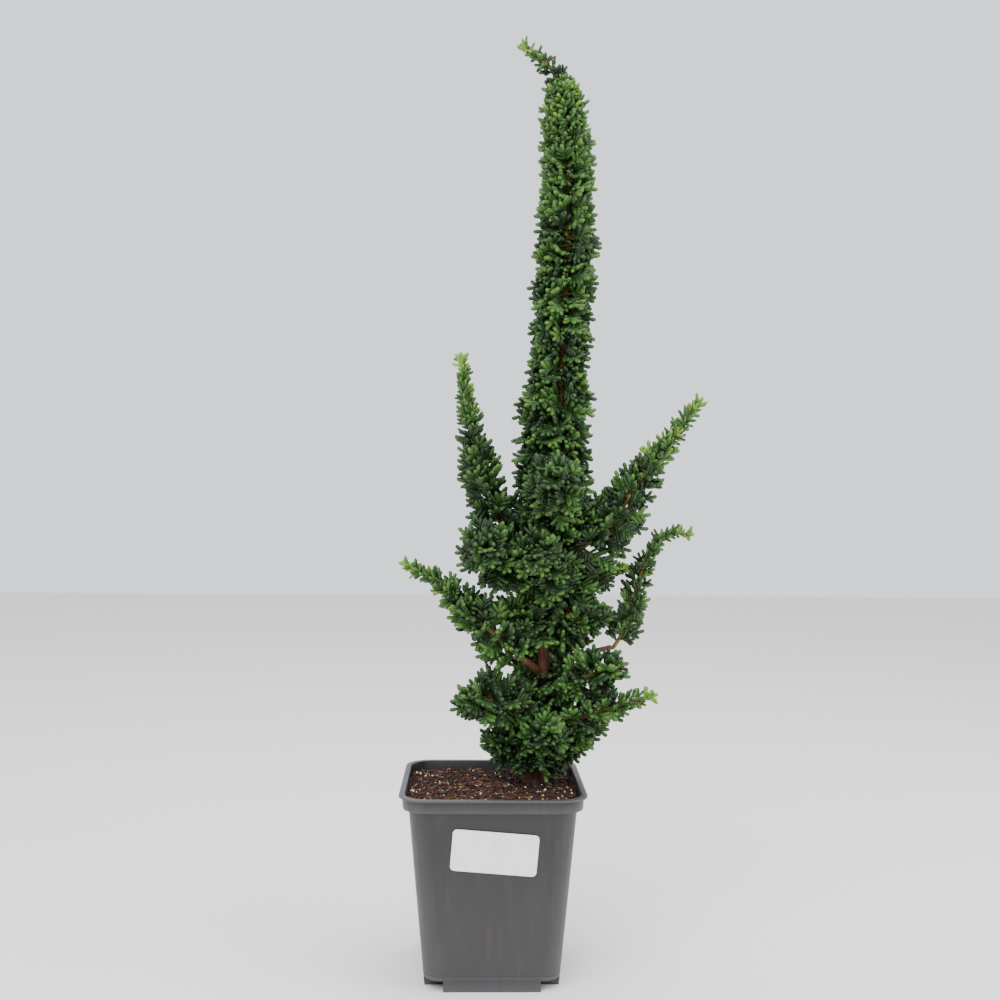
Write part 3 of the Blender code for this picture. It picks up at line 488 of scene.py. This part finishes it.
def limb(line, radii, sides, relief=0.0):
    """A closed tube round a line, with flaky ridges in it."""
    along = np.gradient(line, axis=0)
    along /= np.linalg.norm(along, axis=1, keepdims=True)
    side = np.cross(along[0], (0.3, 1, 0.1))
    verts = []
    for place, way, radius in zip(line, along, radii):
        side = side - way * side.dot(way)
        side /= np.linalg.norm(side)
        other = np.cross(way, side)
        for k in range(sides):
            angle = math.tau * k / sides
            out = side * math.cos(angle) + other * math.sin(angle)
            flake = 0.0
            if relief:
                spot = Vector((out[0] * FLAKES_ACROSS, out[1] * FLAKES_ACROSS, place[2] * FLAKES_A_METRE))
                flake = relief * noise.ridged_multi_fractal(spot, *FLAKE_NOISE)
            verts.append(place + out * radius * (1 + flake))
    verts += [line[0], line[-1]]
    faces = []
    for i in range(len(line) - 1):
        for k in range(sides):
            a, b = i * sides + k, i * sides + (k + 1) % sides
            faces += [(a, b, b + sides), (a, b + sides, a + sides)]
    foot, top = len(verts) - 2, len(verts) - 1
    last = (len(line) - 1) * sides
    for k in range(sides):
        after = (k + 1) % sides
        faces += [(foot, after, k), (top, last + k, last + after)]
    return np.array(verts), faces


TRUNK = smooth_line(TRUNK_LINE, LIMB_STEP)
trunk_share = np.linspace(0, 1, len(TRUNK))
FLARE = FLARE_WIDTH * np.exp(-trunk_share * (TRUNK[-1, 2] - TRUNK[0, 2]) / FLARE_HEIGHT)
TRUNK_RADII = (between(TRUNK_WIDTHS, trunk_share) + FLARE) * MM


def trunk_place(height):
    """The trunk's middle at a height given in millimetres."""
    return Vector([np.interp(height * MM, TRUNK[:, 2], TRUNK[:, axis]) for axis in range(3)])


# Cypress bark is dull and fibrous: flakes 1.5 mm wide and 8 mm long, over a colour that turns from
# red-brown to green with height, as the bark gets younger
bark, tree, shader, place = new_material("flaking_cypress_bark", 0.82, 0.3)
height = node(tree, "ShaderNodeSeparateXYZ", links={0: place}).outputs["Z"]
youth = node(tree, "ShaderNodeMapRange", {"From Min": 110 * MM, "From Max": 560 * MM}, {"Value": height})
age = node(tree, "ShaderNodeValToRGB", {"stops": (
    (0.0, "#5a3a2c"), (0.16, "#7d5640"), (0.3, "#7a4c34"), (0.45, "#6b4a28"), (0.7, "#5f5a26"),
    (1.0, "#6f8a36"),
)}, {"Fac": youth.outputs[0]})
flake_map = node(tree, "ShaderNodeMapping", {"Scale": (650, 650, 120)}, {"Vector": place})
flakes = node(tree, "ShaderNodeTexNoise", {"Scale": 1, "Detail": 6, "Roughness": 0.65},
              {"Vector": flake_map.outputs[0]})
gaps = node(tree, "ShaderNodeValToRGB", {"stops": ((0.32, "#6b5a52"), (0.5, "#bcb2aa"), (0.66, "#ffffff"))},
            {"Fac": flakes.outputs["Fac"]})
tint = node(tree, "ShaderNodeMix", {"data_type": "RGBA", "blend_type": "MULTIPLY", 0: 0.9},
            {6: age.outputs["Color"], 7: gaps.outputs["Color"]})
tree.links.new(tint.outputs[2], shader.inputs["Base Color"])
bump = node(tree, "ShaderNodeBump", {"Strength": 0.6, "Distance": 0.0006}, {"Height": flakes.outputs["Fac"]})
tree.links.new(bump.outputs[0], shader.inputs["Normal"])

trunk = gather("trunk_bark", [limb(TRUNK, TRUNK_RADII, TRUNK_SIDES, TRUNK_RELIEF)], bark)
ride_on_root(trunk, "bark", "trunk")
BOUGH_ENDS = {}
for name, leaves_at, elbow, end, radii in BOUGHS:
    line = smooth_line((trunk_place(leaves_at), elbow, end), LIMB_STEP)
    widths = np.linspace(*radii, len(line)) * MM
    made = gather("bough_bark_" + name, [limb(line, widths, BOUGH_SIDES, BOUGH_RELIEF)], bark)
    ride_on_root(made, "bark", "bough_" + name)
    BOUGH_ENDS[name] = (Vector(line[-1]), Vector(line[-1] - line[-2]).normalized(), radii[1])

# The pruning scar
# A side bough was sawn off the trunk's front, and its pale wood shows as a small oval pad.
SCAR_HEIGHT = 199  # in millimetres
SCAR_OUT = 3.2 * MM  # in front of the trunk's middle
SCAR_HALF = (2.1, 0.9, 2.5)  # half its width, depth and height in millimetres
scar_place = trunk_place(SCAR_HEIGHT) + Vector((0, -SCAR_OUT, 0))
scar_shape = BALL_VERTS * np.array(SCAR_HALF) * MM + np.array(scar_place)
# Sawn wood is dull and cream, with soft spots of 2 mm
sawn_wood = mottled("sawn_cypress_wood", "#b59a78", "#dccbb0", 2)
scar = gather("pruning_scar", [(scar_shape, BALL_FACES)], sawn_wood)
scar.data.shade_smooth()
ride_on_root(scar, "bark")

# The foliage
# Cord-like sprays of scale leaves, set all round the stems. Each spray is a twig with blunt fingers
# in one plane, about 2.6 mm thick. Young tips are yellow-green, and a few died. The inner sprays are
# darkened with painted shade, and the outer ones lightened with painted light.
ARM, CLUMP = (62, 20), (98, 20)  # the sprays' angle to their stem at its start and its end
# Each mass's name, its start (a bough's name, or a height on the trunk), its stem's further points,
# how far its sprays reach from the stem at its start, middle and end, and their angle. Heights and
# reaches are in millimetres here and below.
MASSES = (
    ("left_spire", "left_spire", (mm(-0.6, 6, 280), mm(-9, 4, 305), mm(-14.6, 3, 331), mm(-20.5, 3, 372)),
     (17, 14, 6), ARM),
    ("left_clump", "left_clump", (mm(3, -5, 252), mm(-4, -18, 258), mm(-5, -26, 258)), (20, 24, 18), CLUMP),
    ("left_inner", 200, (mm(20, 7, 213), mm(12, 3, 217)), (16, 19, 15), CLUMP),
    ("left_arm", "left_arm", (mm(0, -5, 205), mm(-17.5, -11, 222), mm(-33, -15, 236.5), mm(-51, -19, 246)),
     (20, 16, 6), ARM),
    ("left_low", "left_low", (mm(0, -6, 164), mm(-11, -12, 165)), (19, 21, 16), CLUMP),
    ("right_spire", "right_spire", (mm(71, 6, 270), mm(89, 2, 297), mm(107, 0, 323), mm(124, -3, 345)),
     (21, 15, 7), ARM),
    ("right_candle", "right_candle", (mm(83, 20, 205), mm(89, 20, 225), mm(95, 20, 244), mm(103, 20, 259),
                                      mm(113, 20, 266.5), mm(122, 20, 266)), (11, 10, 6), ARM),
    ("right_low", "right_low", (mm(64, -4, 157), mm(82, -12, 164.6), mm(94, -15, 168)), (19, 13, 6), ARM),
    ("right_upper", 226, (mm(52, 17, 235), mm(70, 20, 241.6), mm(82, 22, 244)), (18, 16, 6), ARM),
    ("right_middle", 202, (mm(50, 15, 209), mm(62, 14, 214)), (17, 20, 15), CLUMP),
    ("right_inner", "right_inner", (mm(62, 0, 180), mm(70, -4, 183)), (20, 21, 15), CLUMP),
    ("front_clump", "front_clump", (mm(38.8, -15, 296), mm(38.5, -27, 300)), (20, 22, 17), CLUMP),
    ("front_fan", 222, (mm(32, -2, 242), mm(26, -17, 256), mm(23, -26, 252)), (17, 20, 15), CLUMP),
    ("back_spire", "back_spire", (mm(43, 46, 281), mm(44, 54, 305), mm(44, 61, 335)), (19, 15, 7), ARM),
    ("back_arm", "back_arm", (mm(27, 54, 199), mm(23, 70, 211), mm(20, 81, 218)), (20, 16, 6), ARM),
    ("back_clump", 252, (mm(29, 28, 264), mm(20, 37, 271)), (16, 20, 15), CLUMP),
    ("back_middle", 207, (mm(44, 30, 215), mm(51, 41, 222)), (16, 21, 15), CLUMP),
    ("skirt_left", 127, (mm(15, 10, 134), mm(4, 4, 137)), (16, 19, 14), CLUMP),
    ("skirt_right", 124, (mm(44, 14, 134), mm(57, 12, 141)), (16, 18, 13), CLUMP),
    ("skirt_front", 124, (mm(31, 0, 138), mm(33, -14, 145)), (17, 20, 16), CLUMP),
    ("skirt_back", 130, (mm(28, 33, 140), mm(27, 47, 149)), (17, 20, 15), CLUMP),
    ("leader_tip", 539, (mm(35, 2, 552), mm(26, 1, 560), mm(17.5, 0, 566)), (10, 7, 4.5), ARM),
)
masses = {mass[0]: mass for mass in MASSES}
LOWEST_LEAF = POT_HEIGHT / MM + 1  # in millimetres
FINGER_RADIUS = 1.3 * MM
FINGER_SIDES, FINGER_RINGS = 6, 7
FINGER_STEP = 2.9 * MM  # between fingers on one side of a spray's twig
FINGER_LEAN = (38, 62)  # degrees from the twig
FINGER_LENGTH = (6.5, 10.5)  # in millimetres
FINGER_SHORTER = 0.35  # the share of its length that a finger has lost at the twig's tip
FINGER_LIFT = 0.12  # how far a finger's end curves up, against its length
FINGER_LAST_RING = 0.95  # where it lies, against its length
FINGER_CAP = 0.06  # the blunt end past that ring
FINGER_STOUTNESS = (0.85, 1.1)
OUT_OF_PLANE = 0.3  # how far a finger may leave its spray's plane, against its length
LIGHTER_CHANCE, LIGHTER_GAIN = 0.15, 0.3  # that a finger is a shade lighter, and more so further out: painted light, or a young tip's yellow-green
SCALE_RELIEF = 0.11
TIP_FINGER = 5.5 * MM
SPRAY_LEAFY = 24 * MM  # the stretch of a spray's twig that carries fingers
SPRAY_BARE = 0.18  # and the least share of it that carries none
SPRAY_TWIG = (0.8, 0.45)  # a twig's radii at its two ends, in millimetres
TWIG_SIDES, TWIG_RINGS = 5, 4
STEM_RADIUS = 1.9  # of a stem that grows straight from the trunk
TIP_RADIUS = 0.9  # of every stem's end
# The dark colour is painted shade for the crown's inside, and the light colour is painted light for its
# outer sprays.
KINDS = {  # the sprays' colours, from the inside of the crown to its youngest tips, and the dead ones
    "dark": ("#13240f", "#203417"),
    "green": ("#24401a", "#355525"),
    "light": ("#385c25", "#4f7430"),
    "tip": ("#55802a", "#7d9e38"),
    "dead": ("#6b3c1e", "#8f5a2a"),
}
PAINTED_SHADE, GREEN, PAINTED_LIGHT, TIP, DEAD = range(len(KINDS))

# A finger is stoutest two thirds of the way out, and ends bluntly
rings = np.linspace(0, 1, FINGER_RINGS)
FINGER_PROFILE = np.interp(rings, (0, 0.25, 0.65, 0.88, 1), (0.75, 0.9, 1.0, 0.95, 0.62))
FINGER_PLACES = rings * FINGER_LAST_RING
finger_faces = []
for i in range(FINGER_RINGS - 1):
    for k in range(FINGER_SIDES):
        a, b = i * FINGER_SIDES + k, i * FINGER_SIDES + (k + 1) % FINGER_SIDES
        finger_faces += [(a, b, b + FINGER_SIDES), (a, b + FINGER_SIDES, a + FINGER_SIDES)]
last_ring = (FINGER_RINGS - 1) * FINGER_SIDES
cap_vert = FINGER_RINGS * FINGER_SIDES
root_vert = cap_vert + 1
for k in range(FINGER_SIDES):
    after = (k + 1) % FINGER_SIDES
    finger_faces += [(cap_vert, last_ring + k, last_ring + after), (root_vert, after, k)]
FINGER_FACES = np.array(finger_faces)


def unit(rows):
    """Vectors, or one vector, brought to a length of 1."""
    return rows / np.maximum(np.linalg.norm(rows, axis=-1, keepdims=True), 1e-9)


def fingers(name, rows, material):
    """One mesh of many fingers. A row holds a root, a direction, a length, a radius and a turn."""
    rows = np.array(rows)
    root, way, length, radius, turn = rows[:, :3], unit(rows[:, 3:6]), rows[:, 6], rows[:, 7], rows[:, 8]
    side = unit(np.cross(way, (0.31, 0.22, 0.93)))
    other = np.cross(way, side)
    angle = math.tau * np.arange(FINGER_SIDES) / FINGER_SIDES + turn[:, None, None]
    out = side[:, None, None] * np.cos(angle)[..., None] + other[:, None, None] * np.sin(angle)[..., None]
    pattern = (-1.0) ** (np.arange(FINGER_RINGS)[:, None] + np.arange(FINGER_SIDES)[None])
    girth = FINGER_PROFILE[:, None] * (1 + SCALE_RELIEF * pattern)
    middle = root[:, None] + way[:, None] * (FINGER_PLACES[None] * length[:, None])[..., None]
    lift = (FINGER_LIFT * FINGER_PLACES**2)[None] * length[:, None]
    middle = middle + np.array((0, 0, 1)) * lift[..., None]
    skin = middle[:, :, None] + out * (girth[None] * radius[:, None, None])[..., None]
    caps = middle[:, -1] + way * (length * FINGER_CAP)[:, None]
    verts = np.concatenate([skin.reshape(len(rows), -1, 3), caps[:, None], middle[:, :1]], 1)
    count = verts.shape[1]
    faces = (FINGER_FACES[None] + (np.arange(len(rows)) * count)[:, None, None]).reshape(-1, 3)
    made = gather(name, [(verts.reshape(-1, 3), faces)], material)
    made.data.shade_smooth()
    return made


def clear_of_trunk(point, room):
    """True where a point keeps out of the trunk."""
    gap = np.linalg.norm(TRUNK - point, axis=1) - TRUNK_RADII
    return gap.min() > room


def spray(root, target, shade, vigour, rows, twigs):
    """A twig from root to target with fingers on both sides, in one plane."""
    run = np.array(target) - np.array(root)
    length = np.linalg.norm(run)
    along = run / length
    normal = unit(np.cross(along, random.normal(size=3)))
    side = np.cross(normal, along)
    bare = max(length - SPRAY_LEAFY, SPRAY_BARE * length)
    count = max(int((length - bare) / FINGER_STEP * 2), 3)
    tip_room = TIP_FINGER * vigour
    for k in range(count):
        far = bare + (length - tip_room - bare) * k / count
        hand = 1 if k % 2 else -1
        lean = math.radians(random.uniform(*FINGER_LEAN))
        stray = random.uniform(-OUT_OF_PLANE, OUT_OF_PLANE)
        way = along * math.cos(lean) + side * hand * math.sin(lean) + normal * stray
        long = random.uniform(*FINGER_LENGTH) * MM * vigour * (1 - FINGER_SHORTER * (k / count) ** 2)
        base = np.array(root) + along * far
        if (base + way * long)[2] < LOWEST_LEAF * MM or not clear_of_trunk(base + way * long, MM):
            continue
        kind = shade + (1 if random.random() < LIGHTER_CHANCE + LIGHTER_GAIN * k / count else 0)
        radius = FINGER_RADIUS * vigour * random.uniform(*FINGER_STOUTNESS)
        turn = random.uniform(0, math.tau)
        rows[DEAD if shade == DEAD else min(kind, TIP)].append((*base, *way, long, radius, turn))
    base = np.array(root) + along * (length - tip_room)
    if base[2] > LOWEST_LEAF * MM:
        kind = DEAD if shade == DEAD else min(shade + 1, TIP)
        rows[kind].append((*base, *along, tip_room, FINGER_RADIUS * vigour, 0.0))
        twigs.append((np.linspace(root, base, TWIG_RINGS), np.linspace(*SPRAY_TWIG, TWIG_RINGS) * MM))


# Scale leaves are waxy and a little glossy, each colour in two close tones in spots of 2.5 mm, and
# the dark and light colours hold painted shade and painted light. The twigs between them are duller
# and browner, with spots of 3 mm.
leaf_materials = [mottled("scale_leaves_" + kind, *tones, 2.5, roughness=0.5, relief=0.15)
                  for kind, tones in KINDS.items()]
twig_bark = mottled("green_twig_bark", "#4c4a24", "#7a6a34", 3, roughness=0.7)


def dress(region, nodes, rows, twigs):
    """The pieces of one region: its twigs, and its fingers by colour."""
    tubes = [limb(line, widths, TWIG_SIDES) for line, widths in twigs]
    made = gather("twigs_" + region, tubes, twig_bark)
    ride_on_root(made, "bark", *nodes)
    for kind, kept, material in zip(KINDS, rows, leaf_materials):
        if kept:
            made = fingers(f"sprays_{kind}_{region}", kept, material)
            ride_on_root(made, "foliage", *nodes)


REGIONS = {
    "left": ("left_spire", "left_clump", "left_inner", "left_arm", "left_low", "skirt_left"),
    "right": ("right_spire", "right_candle", "right_low", "right_upper", "right_middle", "right_inner",
              "skirt_right"),
    "front": ("front_clump", "front_fan", "skirt_front"),
    "back": ("back_spire", "back_arm", "back_clump", "back_middle", "skirt_back"),
}
SPRAY_STEP = {ARM: 1.5 * MM, CLUMP: 0.85 * MM}
FULLER = {ARM: 1.4, CLUMP: 1.14}  # the finer sprays fill out what the source's fans outline
BARE_FROM_LIMB = 0.06  # the share of a stem that carries no sprays, from a bough or the trunk's end
BARE_FROM_TRUNK = 0.15
STEM_STRAIGHT = 2  # a stem runs on along its bough for this far, in millimetres
STEM_STEP = MM
TURN_STRAY = 0.3  # in radians
REACH_RANGE = (0.75, 1.05)
FULL_REACH = 15 * MM  # a spray that reaches less far than this is smaller all over
LEAST_VIGOUR, TIP_VIGOUR = 0.7, 0.8
# An arm is dark with painted shade near the trunk, and lighter with painted light towards its outer end.
SHADES = (  # along an arm, from this share on: a colour, its share of the sprays, and the others' colour
    (0, PAINTED_SHADE, 0.55, GREEN),
    (0.6, GREEN, 0.8, PAINTED_LIGHT),
    (0.93, PAINTED_LIGHT, 0.6, TIP),
)


def grow(mass, rows, twigs):
    """One mass: a stem from its bough's end or from the trunk, and sprays all round it."""
    name, start, points, reach, lean = mass
    arm = lean is ARM
    if isinstance(start, str):
        first, way, thick = BOUGH_ENDS[start]
        line = smooth_line((first, first + way * STEM_STRAIGHT * MM, *points), STEM_STEP)
    else:
        thick = TIP_RADIUS if name == "leader_tip" else STEM_RADIUS
        line = smooth_line((trunk_place(start), *points), STEM_STEP)
    twigs.append((line, np.linspace(thick, min(thick, TIP_RADIUS), len(line)) * MM))
    skipped = BARE_FROM_LIMB if isinstance(start, str) or name == "leader_tip" else BARE_FROM_TRUNK
    count = int(len(line) * STEM_STEP * (1 - skipped) / SPRAY_STEP[lean])
    for k in range(count):
        share = (k + 0.6) / count
        t = skipped + (1 - skipped) * share
        spot = t * (len(line) - 1)
        i = min(int(spot), len(line) - 2)
        along = unit(line[i + 1] - line[i])
        lean_now = math.radians(lean[0] + (lean[1] - lean[0]) * share**2)
        across = unit(np.cross(along, (0.2, 0.9, 0.3)))
        turn = k * GOLDEN_ANGLE + random.uniform(-TURN_STRAY, TURN_STRAY)
        out = across * math.cos(turn) + np.cross(along, across) * math.sin(turn)
        aim = out * math.sin(lean_now) + along * math.cos(lean_now)
        far = between(((0, reach[0]), (0.5, reach[1]), (1, reach[2])), t) * MM
        far *= random.uniform(*REACH_RANGE)
        far *= 1 + (FULLER[lean] - 1) * ((1 - share) if arm else 1)
        for starts_at, main_kind, main_share, other_kind in SHADES if arm else SHADES[:1]:
            if share > starts_at:
                shade = main_kind if random.random() < main_share else other_kind
        vigour = float(np.clip(far / FULL_REACH, LEAST_VIGOUR, 1.0))
        spray(line[i], line[i] + aim * far, shade, vigour, rows, twigs)
    way = unit(line[-1] - line[-3])
    spray(line[-2], line[-1] + way * reach[2] * MM, TIP if arm else GREEN, TIP_VIGOUR, rows, twigs)


# The arms and clumps, and the sprays that stand on the trunk between them
TRUNK_SPRAYS = 300
TRUNK_SPRAY_LOW, TRUNK_SPRAY_HIGH = LOWEST_LEAF + 8, 288
TRUNK_SPRAY_TURN = 1.3  # where they start round the trunk, in radians
TRUNK_SPRAY_RISE = (-0.25, 0.35)  # a spray's slope
TRUNK_SPRAY_REACH = (17, 24)
RIGHT_REACH, RIGHT_FROM = 36, 150  # they reach further to the right, above this height
GREEN_ODDS = 1.6  # from 1, where all are dark with painted shade, to 2, where half are green
SPRAY_DROP = 4  # a spray leaves the trunk this far below the height that it covers
DEAD_SHARE = 0.02  # of these sprays are dead and orange-brown
BARK_SHOWS = (182, 235)  # heights where the trunk is bare towards the front
FACES_FRONT, FACES_RIGHT, FACES_SIDE = 0.2, 0.3, 0.5  # how squarely a spray points that way, up to 1
crown = {region: ([[] for _ in KINDS], []) for region in REGIONS}
for region, names in REGIONS.items():
    for name in names:
        grow(masses[name], *crown[region])
for k in range(TRUNK_SPRAYS):
    height = between(((0, TRUNK_SPRAY_LOW), (1, TRUNK_SPRAY_HIGH)), (k + 0.5) / TRUNK_SPRAYS)
    angle = k * GOLDEN_ANGLE + TRUNK_SPRAY_TURN
    out = Vector((math.cos(angle), math.sin(angle), random.uniform(*TRUNK_SPRAY_RISE)))
    if BARK_SHOWS[0] < height < BARK_SHOWS[1] and out.y < -FACES_FRONT:
        continue
    region = "front" if out.y < 0 else "back"
    if abs(out.x) > FACES_SIDE:
        region = "right" if out.x > 0 else "left"
    least, most = TRUNK_SPRAY_REACH
    if out.x > FACES_RIGHT and height > RIGHT_FROM:
        most = RIGHT_REACH
    reach = random.uniform(least, most) * MM
    root = trunk_place(height - SPRAY_DROP)
    # The trunk's own sprays lie inside the crown, so they are dark with painted shade, or green.
    shade = DEAD if random.random() < DEAD_SHARE else int(random.random() * GREEN_ODDS)
    spray(root, root + out.normalized() * reach, shade, 1.0, *crown[region])
for region, names in REGIONS.items():
    dress(region, ["foliage_" + name for name in names], *crown[region])

# The leader's column, and the tip that bends to the left above it
COLUMN_LOW, COLUMN_HIGH = 280, 545
COLUMN_SPLIT = 400  # the column is two sets of pieces, below and above this height
COLUMN_TIERS = ((284, 3), (336, 3), (388, 3), (440, 3), (490, 2))  # the source's tiers: foot and sectors
COLUMN_REACH = ((286, 24), (331, 25), (356, 24.5), (373, 21.5), (392, 19.5), (425, 22), (450, 21.5),
                (474, 19), (523, 16.5), (545, 10))
COLUMN_SHIFT = ((286, -4.5), (356, -4), (392, -2.2), (429, -1), (545, -1))
COLUMN_DROOP = ((286, -0.6), (400, -0.45), (480, -0.1), (540, 0.4))  # how far a spray rises for its reach
COLUMN_LIGHT = ((300, 0.35), (450, 0.6), (545, 1.5))  # its sprays' colours turn lighter with height, from painted shade to painted light
COLUMN_SPRAYS = 520
COLUMN_RANGE = (0.82, 1.1)  # its sprays' reach varies by this
DROOP_RANGE, LIGHT_RANGE = 0.2, 0.9
COLUMN_SEAM = (345, 505)  # heights where the stem shows through at the front
SEAM_MIDDLE, SEAM_HALF = 0.05, 0.3  # across the front, against the column's reach
SLENDER_FROM, SLENDER_VIGOUR = 500, 0.85  # its sprays are smaller above this height, by this factor
column = {part: ([[] for _ in KINDS], []) for part in ("leader_low", "leader_high")}
for k in range(COLUMN_SPRAYS):
    height = COLUMN_LOW + (COLUMN_HIGH - COLUMN_LOW) * (k + 0.5) / COLUMN_SPRAYS
    angle = k * GOLDEN_ANGLE
    out = Vector((math.cos(angle), math.sin(angle), 0))
    reach = between(COLUMN_REACH, height) * random.uniform(*COLUMN_RANGE)
    in_seam = abs(out.x - SEAM_MIDDLE) < SEAM_HALF and out.y < 0
    if COLUMN_SEAM[0] < height < COLUMN_SEAM[1] and in_seam:
        continue
    rise = between(COLUMN_DROOP, height) + random.uniform(-DROOP_RANGE, DROOP_RANGE)
    root = trunk_place(height)
    middle = root + Vector((between(COLUMN_SHIFT, height), 0, 0)) * MM
    target = middle + (out + Vector((0, 0, rise))) * reach * MM
    shade = int(between(COLUMN_LIGHT, height) + random.random() * LIGHT_RANGE)
    vigour = 1.0 if height < SLENDER_FROM else SLENDER_VIGOUR
    part = "leader_low" if height < COLUMN_SPLIT else "leader_high"
    spray(root, target, min(shade, PAINTED_LIGHT), vigour, *column[part])
grow(masses["leader_tip"], *column["leader_high"])
column_nodes = {"leader_low": [], "leader_high": []}
for tier, (foot, sectors) in enumerate(COLUMN_TIERS):
    part = "leader_low" if foot < COLUMN_SPLIT else "leader_high"
    column_nodes[part] += [f"foliage_leader_{tier + 1}{letter}" for letter in "abc"[:sectors]]
column_nodes["leader_high"].append("foliage_leader_tip")
for part, (rows, twigs) in column.items():
    dress(part, column_nodes[part], rows, twigs)
